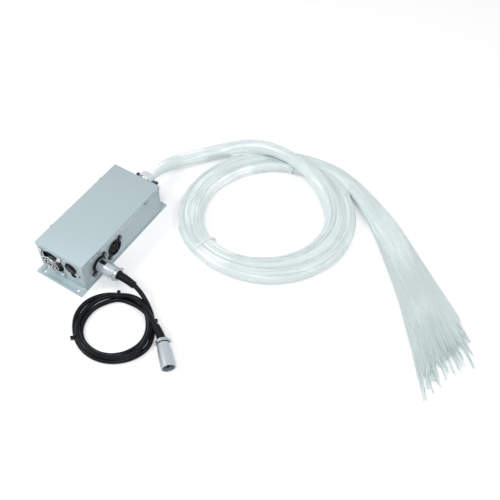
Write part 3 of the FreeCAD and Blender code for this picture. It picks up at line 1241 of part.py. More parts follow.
# ---------------------------------------------------------------- writing the nodes
def nodes():
    fibre_ties = fibre_tie_bands()
    cable_ties = cable_tie_bands()
    fibre_ring = turned(fibre_coil_section(0), FIBRE_COIL_AT)
    cable_ring = turned(cable_coil_section(0), CABLE_COIL_AT)
    cable_lead = largest(tube("cable_lead", CABLE_LEAD, CABLE_RADIUS).cut([cable_ring, plug_a_boot()]))
    cable_end = tube("cable_end", CABLE_END, CABLE_RADIUS).cut([cable_ring, connector_boot(), cable_lead])
    yield "base_plate", base_plate()
    yield "housing_walls", housing_walls()
    yield "top_cover", top_cover()
    yield "cover_screws", cover_screws()
    yield "base_screws", base_screws()
    yield "fan_frame", fan_frame()
    yield "fan_rotor", fan_rotor()
    yield "fan_guard", fan_guard()
    yield "fan_screws", fan_screws()
    yield "hex_nuts", hex_nuts()
    yield "switch_body", switch_body()
    yield "switch_rocker", switch_rocker()
    yield "dc_jack", dc_jack()
    yield "dc_jack_nut", dc_jack_nut()
    yield "indicator_lens", indicator_lens()
    yield "xlr_in_body", xlr_in_body()
    yield "xlr_in_insert", xlr_in_insert()
    yield "xlr_in_pins", xlr_in_pins()
    yield "xlr_out_body", xlr_out_body()
    yield "xlr_out_insert", xlr_out_insert()
    yield "xlr_out_contacts", xlr_out_contacts()
    yield "xlr_out_latch", xlr_out_latch()
    yield "socket_screws", socket_screws()
    yield "port_sleeve", port_sleeve()
    yield "port_nut", port_nut()
    yield "clamp_collar", clamp_collar()
    yield "thumb_screw_left", thumb_screw(1)
    yield "thumb_screw_right", thumb_screw(-1)
    yield "fibre_ferrule", fibre_ferrule()
    yield "fibre_core", fibre_core()
    yield "led_heatsink", led_heatsink()
    yield "led_board", led_board()
    yield "led_emitter", led_emitter()
    yield "lens_holder", lens_holder()
    yield "collimator_lens", collimator_lens()
    yield "sink_bracket", sink_bracket()
    yield "driver_board", driver_board()
    yield "board_standoffs", board_standoffs()
    yield "board_screws", board_screws()
    yield "board_parts", board_parts()
    yield "wiring", wiring()
    yield "fibre_lead", tube("fibre_lead", FIBRE_LEAD, BUNDLE_RADIUS).cut(fibre_ring)
    yield "fibre_coil", fibre_ring.cut(fibre_ties)
    yield "fibre_tail", tube("fibre_tail", FIBRE_TAIL, BUNDLE_RADIUS).cut(fibre_ring)
    yield "fibre_spray", fibre_spray()
    yield "fibre_ties", group(fibre_ties)
    yield "plug_a_shell", plug_a_shell()
    yield "plug_a_latch", plug_a_latch()
    yield "plug_a_insert", plug_a_insert()
    yield "plug_a_ring", plug_a_ring()
    yield "plug_a_boot", plug_a_boot()
    yield "cable_lead", cable_lead
    yield "cable_coil", cable_ring.cut(cable_ties)
    yield "cable_end", cable_end
    yield "cable_ties", group(cable_ties)
    yield "connector_boot", connector_boot()
    yield "connector_ring", connector_ring()
    yield "connector_shell", connector_shell()
    yield "connector_insert", connector_insert()
    yield "connector_pins", connector_pins()


os.makedirs("parts", exist_ok=True)
for name, shape in nodes():
    shape.exportStep("parts/" + name + ".step")
    print(name, "solids", len(shape.Solids), "valid", shape.isValid(), "volume", round(shape.Volume, 1))
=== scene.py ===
import math

import bmesh
import bpy
import numpy as np
from mathutils import Matrix, Vector


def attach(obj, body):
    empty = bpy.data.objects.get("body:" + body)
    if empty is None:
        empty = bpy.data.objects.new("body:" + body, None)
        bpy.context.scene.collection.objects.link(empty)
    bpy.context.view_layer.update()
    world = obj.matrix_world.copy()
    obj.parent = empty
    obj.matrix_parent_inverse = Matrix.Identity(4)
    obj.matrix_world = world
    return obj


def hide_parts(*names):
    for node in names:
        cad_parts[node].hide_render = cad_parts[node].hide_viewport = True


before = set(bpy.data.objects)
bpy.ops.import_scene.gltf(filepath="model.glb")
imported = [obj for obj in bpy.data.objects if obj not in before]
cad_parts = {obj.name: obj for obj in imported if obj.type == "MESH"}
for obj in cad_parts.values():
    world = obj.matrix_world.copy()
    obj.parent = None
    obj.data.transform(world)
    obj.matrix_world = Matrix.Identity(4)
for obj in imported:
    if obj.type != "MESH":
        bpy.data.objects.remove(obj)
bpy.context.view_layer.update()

MM = 0.001

# ---------------------------------------------------------------- camera
CAMERA_AT = (-0.39576, -0.45251, 0.74369)
CAMERA_LOOKS_AT = (0.09143, -0.18371, 0.0)
CAMERA_ROLL = 3.214
CAMERA_LENS = 47.855

# ---------------------------------------------------------------- routes, in millimetres
# The fibre bundle: x, y, z of its middle line and its radius there
FIBRE_LEAD = [
    (103.5, 0, 26.5, 7.4), (122, 0, 26.5, 8.6), (144, -5, 22, 10), (167, -14, 16.5, 11),
    (189, -26, 13, 11), (210, -41, 12.5, 11), (228, -60, 16, 11), (241, -82, 23, 11),
    (248, -107, 31, 10.5), (249, -134, 36, 9.5), (247, -162, 36, 9), (244, -188, 31, 10),
    (238, -214, 24, 12), (222, -240, 16.5, 13.5),
]
FIBRE_TURNS_AT = (158, -167)
# Its turns on the floor: angle, distance from the turns' centre, height and radius
FIBRE_TURNS = [
    (-72, 105, 13, 13.5), (-96, 103, 12, 13), (-120, 101, 11, 12), (-144, 101, 11, 11),
    (-168, 103, 11, 10.5), (168, 105, 10.5, 9.5), (144, 103, 10, 9.5), (120, 97, 10, 10.5),
    (96, 91, 10, 10.5), (72, 86, 10, 10.5),
    (48, 86, 10, 10), (24, 92, 10, 9), (0, 102, 10, 9), (-24, 113, 10.5, 10.5),
    (-48, 122, 11, 11), (-72, 125, 11, 11), (-96, 126, 11, 11), (-120, 122, 11, 11),
    (-144, 119, 11, 11), (-168, 118, 11, 10.5), (168, 120, 10, 9.5), (144, 122, 10, 9.5),
    (120, 117, 10, 9.5), (96, 109, 10, 9.5), (72, 105, 10, 9.5),
    (48, 105, 10, 9.5), (24, 111, 10, 9), (0, 120, 10, 9), (-21, 131, 10.5, 10),
]
FIBRE_TAIL = [
    (266.5, -259, 11, 11), (248, -293, 9.0, 10.5), (229, -323, 7.0, 9.5), (205, -352, 5.6, 8.5),
    (177, -383, 4.6, 8), (146, -415, 3.8, 7), (114, -444, 3.2, 6),
]
# The spread end: centre x, y, half width and half height, from inside the tail to the tips
SPREAD = [
    (277, -175, 9.4, 9.6), (280, -194, 9.8, 10), (279, -226, 10.8, 10.8), (266.5, -259, 13.2, 10.6),
    (248, -293, 17, 9.2), (229, -323, 20.2, 7.6), (205, -352, 23.5, 6.4), (177, -383, 27, 5.4),
    (146.8, -416, 31.5, 4.5), (116.6, -447, 38, 3.7), (88.7, -475, 44, 3.1), (60.8, -501, 49.5, 2.7),
    (36, -522, 53, 2.6),
]
# How far along it the close mass of fibres reaches, at sideways places from right to left
SPREAD_SOLID = [(-1, 0.745), (-0.9, 0.775), (-0.72, 0.825), (-0.62, 0.842), (-0.42, 0.850), (-0.26, 0.856),
                (0, 0.866), (0.17, 0.872), (0.34, 0.885), (0.51, 0.893), (0.72, 0.905), (1, 0.925)]
# The tufts beyond it: sideways place of the tip and how far it reaches
SPREAD_TUFTS = [(-0.84, 0.835), (-0.71, 0.878), (-0.56, 0.912), (-0.40, 0.880), (-0.27, 0.903),
                (-0.16, 0.920), (0.01, 0.930), (0.15, 0.918), (0.32, 0.933), (0.42, 0.951), (0.54, 0.946),
                (0.61, 0.932), (0.70, 0.966), (0.82, 0.952), (0.90, 0.988), (0.98, 0.991), (1.06, 0.990)]

FIBRE_TIE_ANGLES = (3, 160)
FIBRE_TIE_WIDTH = 4.4
FIBRE_TIE_THICK = 0.9

# The data lead: from the plug's boot, round its coil and to the connector's boot
CABLE_RADIUS = 3.1
CABLE_LEAD = [
    (-52.75, -96.0, 20.5), (-53.6, -103.5, 16.2), (-56.3, -112.0, 11.8), (-61.0, -121.3, 8.2),
    (-66.9, -130.6, 5.8), (-74.8, -139.3, 4.0),
]
CABLE_END = [
    (-67.0, -85.3, 8.4), (-62.3, -96.5, 8.5), (-61.4, -108.8, 9.6), (-66.3, -120.4, 11.0),
    (-72.8, -131.8, 12.2), (-79.0, -142.4, 13.0), (-82.9, -150.4, 13.0),
]
CABLE_COIL_AT = (-109.0, -104.0)
# Its turns, clockwise from the first angle: distance from the coil's centre and height. The ties hold them
# together and they fan out between
CABLE_FIRST_ANGLE = -66.0
CABLE_STEP = 24.0
CABLE_TURNS = [
    (50.6, 3.1), (54.4, 3.1), (52.0, 3.1), (49.6, 3.1), (48.6, 3.1), (48.2, 3.1), (48.7, 3.1), (50.4, 3.1),
    (54.8, 3.1), (56.4, 3.1), (53.0, 3.1), (49.2, 3.1), (47.6, 3.1), (46.6, 3.1), (43.3, 3.1),
    (43.4, 3.1), (43.2, 3.1), (41.4, 3.1), (40.8, 3.1), (40.6, 3.1), (41.0, 3.1), (42.4, 3.1), (42.4, 3.1),
    (41.2, 3.1), (41.0, 3.1), (40.6, 3.1), (42.9, 3.1), (40.6, 3.3), (41.2, 7.6), (46.0, 8.8),
    (47.0, 8.0), (48.0, 8.2), (51.8, 9.2), (46.6, 8.0), (44.6, 7.9), (44.6, 8.1), (45.6, 8.4), (46.6, 7.6),
    (47.3, 3.6), (48.2, 3.6), (47.8, 6.2),
]


# ---------------------------------------------------------------- geometry
def new_object(name, data, finish_name):
    """Links an object to the scene at the origin, riding on the housing, and gives it its finish."""
    made = bpy.data.objects.new(name, data)
    bpy.context.scene.collection.objects.link(made)
    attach(made, "housing")
    finish(made, finish_name)
    return made


def mesh_piece(name, points, faces, finish_name, place=None, smooth=True):
    """A mesh object from points in millimetres. place holds x, y, z of the pattern at each point, in
    metres."""
    mesh = bpy.data.meshes.new(name)
    mesh.from_pydata((np.asarray(points, float) * MM).tolist(), [], faces)
    if smooth:
        mesh.shade_smooth()
    if place is not None:
        layer = mesh.attributes.new("place", "FLOAT_VECTOR", "POINT")
        layer.data.foreach_set("vector", np.asarray(place, float).ravel())
    mesh.update()
    return new_object(name, mesh, finish_name)


def run_along(lines):
    """The distance gone along each line, from 0 at its first point."""
    steps = np.linalg.norm(np.diff(lines, axis=-2), axis=-1)
    return np.concatenate([np.zeros(steps.shape[:-1] + (1,)), np.cumsum(steps, axis=-1)], axis=-1)


def at_steps(where, *rows):
    """Each row of values, or of points, read at the given places along its steps."""
    steps = np.arange(len(rows[0]))
    return [np.interp(where, steps, row) if row.ndim == 1
            else np.stack([np.interp(where, steps, row[:, k]) for k in range(row.shape[1])], -1)
            for row in rows]


def eased(value):
    """A smooth step: 0 up to 0, 1 from 1 on, and 3 v v - 2 v v v between."""
    value = np.clip(value, 0, 1)
    return value * value * (3 - 2 * value)


def unit(vectors):
    """Each vector divided by its length."""
    return vectors / np.maximum(np.linalg.norm(vectors, axis=-1, keepdims=True), 1e-9)


def frames(lines):
    """Directions along, across (level) and over each line: across is up x along, over is along x across."""
    along = unit(np.gradient(lines, axis=-2))
    across = unit(np.cross(np.broadcast_to([0.0, 0.0, 1.0], along.shape), along))
    return along, across, np.cross(along, across)


def tube_faces(count, steps, sides):
    """Quads between neighbouring rings of each tube, and one polygon on each end."""
    ring = np.arange(sides)
    start = (np.arange(count)[:, None] * steps + np.arange(steps - 1)).reshape(-1, 1) * sides
    quads = np.stack([start + ring, start + (ring + 1) % sides,
                      start + sides + (ring + 1) % sides, start + sides + ring], -1).reshape(-1, 4)
    first = (np.arange(count) * steps * sides)[:, None] + ring[::-1]
    last = (np.arange(count) * steps * sides + (steps - 1) * sides)[:, None] + ring
    return quads.tolist() + first.tolist() + last.tolist()


def tube_points(lines, across, over):
    """Rings along lines (tube, step, xyz): the point at angle a is line + across cos a + over sin a.

    across and over are the half width and half height at each (tube, step, side).
    """
    sides = across.shape[-1]
    _, level, upright = frames(lines)
    angle = np.arange(sides) * 2 * np.pi / sides
    return (lines[:, :, None] + level[:, :, None] * (across * np.cos(angle))[..., None]
            + upright[:, :, None] * (over * np.sin(angle))[..., None])


def one_tube(line, across, over):
    """Points and faces of one closed tube. across and over are its half width and height at (step, side)."""
    return tube_points(line[None], across[None], over[None]).reshape(-1, 3), tube_faces(1, *across.shape)


def strands(name, lines, size, random):
    """Thin closed tubes of the given radius along lines. The pattern's place is a random spot for each
    strand, plus its own rim across, and the distance gone along it."""
    count, steps, _ = lines.shape
    across = np.full((count, steps, STRAND_SIDES), size)
    points = tube_points(lines, across, across).reshape(-1, 3)
    turn = np.arange(STRAND_SIDES) * 2 * np.pi / STRAND_SIDES
    spot = random.uniform(-30, 30, (count, 1, 1, 2)) + size * np.stack([np.cos(turn), np.sin(turn)], -1)
    gone = run_along(lines)[..., None, None]
    place = np.concatenate([np.broadcast_to(spot, across.shape + (2,)),
                            np.broadcast_to(gone, across.shape + (1,))], -1)
    # Their finish is lightened against the shade between the strands: painted light
    return mesh_piece(name, points, tube_faces(*across.shape), "fibre_ends", place.reshape(-1, 3) * MM)


def route_curve(name, points):
    """A curve whose one NURBS spline has these points (millimetres) as its control points."""
    curve = bpy.data.curves.new(name, "CURVE")
    curve.dimensions = "3D"
    spline = curve.splines.new("NURBS")
    spline.points.add(len(points) - 1)
    flat = np.column_stack([np.array(points, float)[:, :3] * MM, np.ones(len(points))])
    spline.points.foreach_set("co", flat.ravel())
    spline.order_u = 3
    spline.use_endpoint_u = True
    spline.resolution_u = 16
    return curve


def followed(route, spacing):
    """Evenly spaced points (millimetres) read from the route's NURBS spline, and the route's last column
    at each, where a control point's value stands at its place along the spline's knots."""
    carrier = bpy.data.objects.new("route", route_curve("route", route))
    bpy.context.scene.collection.objects.link(carrier)
    read = bpy.data.meshes.new_from_object(carrier)
    line = np.empty(len(read.vertices) * 3)
    read.vertices.foreach_get("co", line)
    line = line.reshape(-1, 3) / MM
    curve = carrier.data
    bpy.data.objects.remove(carrier)
    bpy.data.curves.remove(curve)
    bpy.data.meshes.remove(read)
    gone = run_along(line)
    knots = np.concatenate([[0], np.arange(len(route) - 2) + 0.5, [len(route) - 2]])
    values = np.interp(np.linspace(0, len(route) - 2, len(line)), knots, [p[-1] for p in route])
    stops = np.linspace(0, gone[-1], int(gone[-1] / spacing) + 1)
    even = np.column_stack([np.interp(stops, gone, line[:, k]) for k in range(3)])
    return even, np.interp(stops, gone, values)


def drift(random, rows, steps, every):
    """Smooth random numbers from -1 to 1, (rows, steps): uniform numbers every few steps, joined by a
    cosine ease from each to the next."""
    knots = steps // every + 3
    coarse = random.uniform(-1, 1, (rows, knots))
    place = np.arange(steps) / every
    cell = place.astype(int)
    ease = (1 - np.cos((place - cell) * np.pi)) / 2
    return coarse[:, cell] * (1 - ease) + coarse[:, cell + 1] * ease


def skin_round(solids, voxel):
    """Points and faces of one closed skin round overlapping closed solids, from their voxel remesh.

    solids is a list of (points, faces) in millimetres.
    """
    shift = np.cumsum([0] + [len(points) for points, _ in solids])
    mesh = bpy.data.meshes.new("rough")
    mesh.from_pydata((np.concatenate([points for points, _ in solids]) * MM).tolist(), [],
                     [[corner + start for corner in face]
                      for (_, faces), start in zip(solids, shift.tolist()) for face in faces])
    rough = bpy.data.objects.new("rough", mesh)
    bpy.context.scene.collection.objects.link(rough)
    change = rough.modifiers.new("skin", "REMESH")
    change.mode = "VOXEL"
    change.voxel_size = voxel * MM
    skin = bpy.data.meshes.new_from_object(rough.evaluated_get(bpy.context.evaluated_depsgraph_get()))
    points = np.empty(len(skin.vertices) * 3)
    skin.vertices.foreach_get("co", points)
    faces = np.empty(len(skin.polygons) * 4, np.int32)
    skin.loops.foreach_get("vertex_index", faces)
    bpy.data.objects.remove(rough)
    bpy.data.meshes.remove(mesh)
    bpy.data.meshes.remove(skin)
    return points.reshape(-1, 3) / MM, faces.reshape(-1, 4)


def relaxed(points, faces, rounds):
    """Points moved halfway to the mean of their neighbours, again and again."""
    edges = np.concatenate([faces, np.roll(faces, -1, axis=1)], 0).reshape(2, -1)
    count = np.bincount(edges[0], minlength=len(points)) + np.bincount(edges[1], minlength=len(points))
    for _ in range(rounds):
        total = np.stack([np.bincount(edges[0], points[edges[1], k], len(points))
                          + np.bincount(edges[1], points[edges[0], k], len(points)) for k in range(3)], -1)
        points = (points + total / count[:, None]) / 2
    return points


def nearest(points, line, blocks=60):
    """For each point the index of the nearest point of a line, worked out in blocks."""
    return np.concatenate([np.argmin(((block[:, None] - line[None]) ** 2).sum(-1), axis=1)
                           for block in np.array_split(points, blocks)])


def outward(points, faces):
    """The unit normal at each point: the sum of the normals of the faces round it."""
    across = points[faces[:, 2]] - points[faces[:, 0]]
    along = points[faces[:, 3]] - points[faces[:, 1]]
    normal = np.cross(across, along)
    total = sum(np.stack([np.bincount(faces[:, c], normal[:, k], len(points)) for k in range(3)], -1)
                for c in range(4))
    return unit(total)


def lathe(profile, sides):
    """A closed solid turned about the X axis from (x, radius) rows: ring point = (x, r cos a, r sin a)."""
    profile = np.asarray(profile, float)
    angle = np.arange(sides) * 2 * np.pi / sides
    points = np.stack(np.broadcast_arrays(profile[:, :1], profile[:, 1:] * np.cos(angle),
                                          profile[:, 1:] * np.sin(angle)), -1).reshape(-1, 3)
    return points, tube_faces(1, len(profile), sides)


def placed(points, origin, along):
    """Points turned so that +X runs along the given direction and +Y is level, then moved."""
    x = unit(np.asarray(along, float))
    y = unit(np.cross((0, 0, 1), x))
    return np.asarray(points) @ np.stack([x, y, np.cross(x, y)]) + np.asarray(origin, float)


# ---------------------------------------------------------------- shader nodes
def node(tree, kind, links=None, **settings):
    """Adds a shader node. settings are its properties. links gives its inputs, by name or number, a value
    or another node's output."""
    made = tree.nodes.new("ShaderNode" + kind)
    for name, value in settings.items():
        setattr(made, name, value)
    for name, value in (links or {}).items():
        socket = made.inputs[name]
        if isinstance(value, bpy.types.NodeSocket):
            tree.links.new(value, socket)
        else:
            socket.default_value = value
    return made


def node_group(name, inputs, outputs, build):
    """A shader node group: inputs are (name, kind, default), outputs (name, kind); build wires it."""
    tree = bpy.data.node_groups.new(name, "ShaderNodeTree")
    for label, kind, default in inputs:
        socket = tree.interface.new_socket(label, in_out="INPUT", socket_type="NodeSocket" + kind)
        if default is not None:
            socket.default_value = default
    for label, kind in outputs:
        tree.interface.new_socket(label, in_out="OUTPUT", socket_type="NodeSocket" + kind)
    start = tree.nodes.new("NodeGroupInput")
    end = tree.nodes.new("NodeGroupOutput")
    for label, value in build(tree, start.outputs).items():
        tree.links.new(value, end.inputs[label])
    return tree


def mixed(tree, factor, first, second):
    """Two colours mixed by a factor."""
    return node(tree, "Mix", {0: factor, 6: first, 7: second}, data_type="RGBA").outputs[2]


def maths(tree, operation, *values, clamp=False):
    """One sum: operation on numbers or outputs."""
    return node(tree, "Math", dict(enumerate(values)), operation=operation, use_clamp=clamp).outputs[0]


def noise(tree, where, scale, detail, roughness=0.5, distortion=0.0):
    """The value of a noise texture."""
    return node(tree, "TexNoise", {"Vector": where, "Scale": scale, "Detail": detail,
                                   "Roughness": roughness, "Distortion": distortion}).outputs["Fac"]


def ramp(tree, value, low, high, start=0.0, end=1.0):
    """A value mapped from low and high to start and end, and held between them."""
    return node(tree, "MapRange", {"Value": value, "From Min": low, "From Max": high,
                                   "To Min": start, "To Max": end}).outputs[0]


def build_mottle(tree, given):
    """Colour and roughness that drift over a surface: large clouds plus fine specks."""
    clouds = noise(tree, given["Vector"], given["Cloud scale"], 4.0, 0.55)
    specks = noise(tree, given["Vector"], given["Speck scale"], 2.0, 0.6)
    both = maths(tree, "ADD", maths(tree, "MULTIPLY", clouds, 0.65), maths(tree, "MULTIPLY", specks, 0.35))
    centred = maths(tree, "MULTIPLY", maths(tree, "SUBTRACT", both, 0.5), given["Amount"])
    value = maths(tree, "ADD", centred, 1.0)
    scaled = node(tree, "VectorMath", {0: given["Color"], "Scale": value}, operation="SCALE")
    rough = maths(tree, "ADD", given["Roughness"], maths(tree, "MULTIPLY", centred, -0.6), clamp=True)
    return {"Color": scaled.outputs[0], "Roughness": rough}


def build_grain(tree, given):
    """Height of a fine grain: noise with sharp small pits."""
    bumps = noise(tree, given["Vector"], given["Scale"], 5.0, 0.7)
    pits = node(tree, "TexVoronoi", {"Vector": given["Vector"], "Scale": given["Scale"]}).outputs["Distance"]
    return {"Height": maths(tree, "ADD", maths(tree, "MULTIPLY", bumps, 0.7),
                            maths(tree, "MULTIPLY", pits, 0.3))}


def build_streaks(tree, given):
    """Lines along the third direction of a place: noise stretched so that it changes fast only across."""
    stretched = node(tree, "VectorMath", {0: given["Vector"], 1: given["Scale"]}, operation="MULTIPLY")
    soft = noise(tree, stretched.outputs[0], 1.0, 3.0, 0.6)
    return {"Mask": ramp(tree, soft, 0.35, 0.65), "Soft": soft}


def build_scratches(tree, given):
    """A mask of thin wandering scratches: the middle line of bent noise, kept only in patches."""
    bent = noise(tree, given["Vector"], given["Scale"], 1.0, distortion=1.5)
    line = maths(tree, "ABSOLUTE", maths(tree, "SUBTRACT", bent, 0.5))
    thin = ramp(tree, line, 0.0, given["Width"], 1.0, 0.0)
    kept = ramp(tree, noise(tree, given["Vector"], 30.0, 2.0), 0.55, 0.7)
    return {"Mask": maths(tree, "MULTIPLY", thin, kept)}


MOTTLE = node_group("mottle", [("Vector", "Vector", None), ("Color", "Color", (0.8, 0.8, 0.8, 1)),
                               ("Roughness", "Float", 0.4), ("Cloud scale", "Float", 20.0),
                               ("Speck scale", "Float", 600.0), ("Amount", "Float", 0.1)],
                    [("Color", "Color"), ("Roughness", "Float")], build_mottle)
GRAIN = node_group("grain", [("Vector", "Vector", None), ("Scale", "Float", 900.0)],
                   [("Height", "Float")], build_grain)
STREAKS = node_group("streaks", [("Vector", "Vector", None), ("Scale", "Vector", (300.0, 300.0, 8.0))],
                     [("Mask", "Float"), ("Soft", "Float")], build_streaks)
SCRATCHES = node_group("scratches", [("Vector", "Vector", None), ("Scale", "Float", 60.0),
                                     ("Width", "Float", 0.004)],
                       [("Mask", "Float")], build_scratches)


def cleared(owner):
    """The emptied node tree of a material or a world."""
    owner.use_nodes = True
    owner.node_tree.nodes.clear()
    return owner.node_tree


def start_material(name, values):
    """A material with its output and one Principled shader, whose sockets get the values."""
    made = bpy.data.materials.new(name)
    tree = cleared(made)
    shader = node(tree, "BsdfPrincipled", values)
    node(tree, "OutputMaterial", {"Surface": shader.outputs[0]})
    return made, tree, shader


def feed(tree, shader, outputs):
    """Links outputs of other nodes to the shader's inputs of these names."""
    for label, value in outputs.items():
        tree.links.new(value, shader.inputs[label])


def coat_finish(name, colour, roughness, metallic=0.0, clouds=20.0, amount=0.08, grain=900.0,
                depth=0.00002, scratches=0.0, coat=0.0, specular=0.5):
    """Moulded plastic, paint or plated metal: drifting colour and gloss, fine grain, light scratches."""
    made, tree, shader = start_material(name, {"Metallic": metallic, "Coat Weight": coat,
                                               "Coat Roughness": 0.12, "Specular IOR Level": specular})
    where = node(tree, "TexCoord").outputs["Object"]
    mottle = node(tree, "Group", {"Vector": where, "Color": colour + (1,), "Roughness": roughness,
                                  "Cloud scale": clouds, "Amount": amount}, node_tree=MOTTLE).outputs
    worn = node(tree, "Group", {"Vector": where}, node_tree=SCRATCHES).outputs["Mask"]
    pale = tuple(min(1.0, c * 1.3 + 0.05) for c in colour) + (1,)
    fine = node(tree, "Group", {"Vector": where, "Scale": grain}, node_tree=GRAIN).outputs["Height"]
    bump = node(tree, "Bump", {"Height": fine, "Distance": depth, "Strength": 0.6})
    feed(tree, shader, {
        "Base Color": mixed(tree, maths(tree, "MULTIPLY", worn, scratches), mottle["Color"], pale),
        "Roughness": mottle["Roughness"],
        "Normal": bump.outputs[0]})
    return made


# Lines on the fibres, fine, middling and broad: how many a metre across them and along them. Then how many
# patches of painted glints, nearly white lines, a metre
FIBRE_LINES = ((1100.0, 7.0), (330.0, 5.0), (70.0, 8.0))
GLINT_PATCHES = 17.0


def fibre_finish(name, deep, pale, bright, depth, milk, glints):
    """Clear acrylic fibres side by side: milky, glossy, with fine lines along them that tilt the shine, and
    painted glints: nearly white lines in loose patches, painted into the colour and made to glow a little."""
    # The emission strength is for the painted glints: the fibres glow only where the glints are painted white
    made, tree, shader = start_material(name, {
        "Subsurface Weight": milk, "Subsurface Radius": (1.0, 1.1, 1.1), "Subsurface Scale": 0.006,
        "IOR": 1.49, "Specular IOR Level": 1.0, "Coat Weight": 0.5, "Coat Roughness": 0.16,
        "Emission Strength": 0.45})
    where = node(tree, "Attribute", attribute_name="place").outputs["Vector"]
    fine, middling, broad = [
        node(tree, "Group", {"Vector": where, "Scale": (across, across, along)}, node_tree=STREAKS).outputs
        for across, along in FIBRE_LINES]
    base = mixed(tree, middling["Mask"], deep + (1,), pale + (1,))
    base = mixed(tree, maths(tree, "MULTIPLY", fine["Mask"], 0.4), base, bright + (1,))
    base = mixed(tree, maths(tree, "MULTIPLY", broad["Mask"], 0.4), base, pale + (1,))
    # Painted glints: in loose patches the colour goes nearly white along the lines, and glows
    patchy = noise(tree, node(tree, "TexCoord").outputs["Object"], GLINT_PATCHES, 1.0)
    lit = maths(tree, "MULTIPLY", maths(tree, "MULTIPLY", fine["Mask"], middling["Mask"]), glints)
    white = maths(tree, "MULTIPLY", ramp(tree, patchy, 0.53, 0.64), lit)
    height = maths(tree, "ADD", maths(tree, "MULTIPLY", fine["Soft"], 0.45), middling["Soft"])
    bump = node(tree, "Bump", {"Height": height, "Distance": depth, "Strength": 0.8})
    feed(tree, shader, {
        "Base Color": mixed(tree, white, base, (0.98, 1.0, 1.0, 1)),
        "Emission Color": mixed(tree, white, (0, 0, 0, 1), (1, 1, 1, 1)),
        "Roughness": maths(tree, "ADD", maths(tree, "MULTIPLY", middling["Soft"], 0.24), 0.10),
        "Normal": bump.outputs[0]})
    return made


FINISHES = {
    "case": coat_finish("case_sheet", (0.47, 0.575, 0.61), 0.42, metallic=0.25, clouds=9.0, amount=0.07,
                        grain=1500.0, depth=0.00003, scratches=0.25),
    # The hem is a real bead, and its paler, glossier colour adds a painted highlight line
    "hem": coat_finish("case_hem_painted_highlight", (0.60, 0.70, 0.73), 0.30, metallic=0.25, clouds=9.0, amount=0.07,
                       grain=1500.0, depth=0.00001),
    "zinc": coat_finish("zinc_steel", (0.62, 0.64, 0.66), 0.32, metallic=0.9, amount=0.15),
    "cover_screw": coat_finish("nickel_steel", (0.34, 0.37, 0.385), 0.45, metallic=0.7, amount=0.15),
    "chrome": coat_finish("bright_wire", (0.60, 0.63, 0.65), 0.22, metallic=1.0, amount=0.05,
                          depth=0.000004),
    "fan": coat_finish("fan_plastic", (0.012, 0.013, 0.015), 0.45, amount=0.2),
    "dark_screw": coat_finish("blackened_steel", (0.15, 0.16, 0.165), 0.36, metallic=0.6),
    "black": coat_finish("black_plastic", (0.004, 0.005, 0.007), 0.40, amount=0.25, specular=0.07),
    "rocker": coat_finish("rocker_plastic", (0.010, 0.012, 0.015), 0.38, amount=0.25, specular=0.22),
    "lens": coat_finish("lens_smoked", (0.10, 0.11, 0.12), 0.22, amount=0.1),
    "insert": coat_finish("insert_pale", (0.40, 0.43, 0.45), 0.34, metallic=0.3, amount=0.12),
    "pin": coat_finish("pin_dark", (0.06, 0.063, 0.068), 0.3, metallic=0.6),
    "socket": coat_finish("socket_metal", (0.005, 0.006, 0.008), 0.36, amount=0.25, specular=0.12),
    "brass": coat_finish("contact_metal", (0.75, 0.66, 0.42), 0.25, metallic=1.0),
    "port": coat_finish("turned_metal", (0.66, 0.70, 0.72), 0.26, metallic=0.85, amount=0.12),
    "thumb": coat_finish("thumb_black", (0.05, 0.056, 0.062), 0.34, metallic=0.3),
    # The last number of each fibre finish is the strength of its painted glints
    "fibre": fibre_finish("fibre_clear", (0.715, 0.825, 0.83), (0.81, 0.90, 0.905), (0.90, 0.96, 0.96),
                          0.0013, 0.4, 0.9),
    "fibre_fan": fibre_finish("fibre_fan", (0.63, 0.745, 0.75), (0.72, 0.82, 0.825), (0.81, 0.895, 0.90),
                              0.0014, 0.4, 0.35),
    # Loose ends: fibre colours lightened against the shade the strands cast on each other, painted light
    "fibre_ends": fibre_finish("fibre_ends", (0.79, 0.965, 0.955), (0.85, 0.98, 0.975), (0.89, 0.99, 0.985),
                               0.0001, 0.3, 0.0),
    "tie_clear": coat_finish("tie_nylon", (0.80, 0.85, 0.86), 0.3, amount=0.1),
    "shell": coat_finish("plug_metal", (0.50, 0.555, 0.58), 0.36, metallic=0.6, amount=0.10, depth=0.000006,
                         scratches=0.15),
    "ring": coat_finish("bright_ring", (0.44, 0.485, 0.51), 0.34, metallic=0.75, amount=0.10, depth=0.000006),
    "latch": coat_finish("latch_black", (0.008, 0.010, 0.013), 0.32, amount=0.2, specular=0.22),
    "boot": coat_finish("boot_rubber", (0.005, 0.007, 0.010), 0.42, amount=0.2, specular=0.14),
    "cable": coat_finish("cable_jacket", (0.004, 0.006, 0.009), 0.26, amount=0.25, specular=0.14),
    "tie_black": coat_finish("tie_black", (0.006, 0.006, 0.008), 0.45, specular=0.18),
    "board": coat_finish("solder_mask", (0.02, 0.16, 0.07), 0.35, coat=0.4),
    "parts": coat_finish("board_parts", (0.05, 0.05, 0.06), 0.4),
    "emitter": coat_finish("phosphor", (0.80, 0.72, 0.25), 0.3),
    "wire": coat_finish("wire_jacket", (0.35, 0.03, 0.03), 0.4),
}
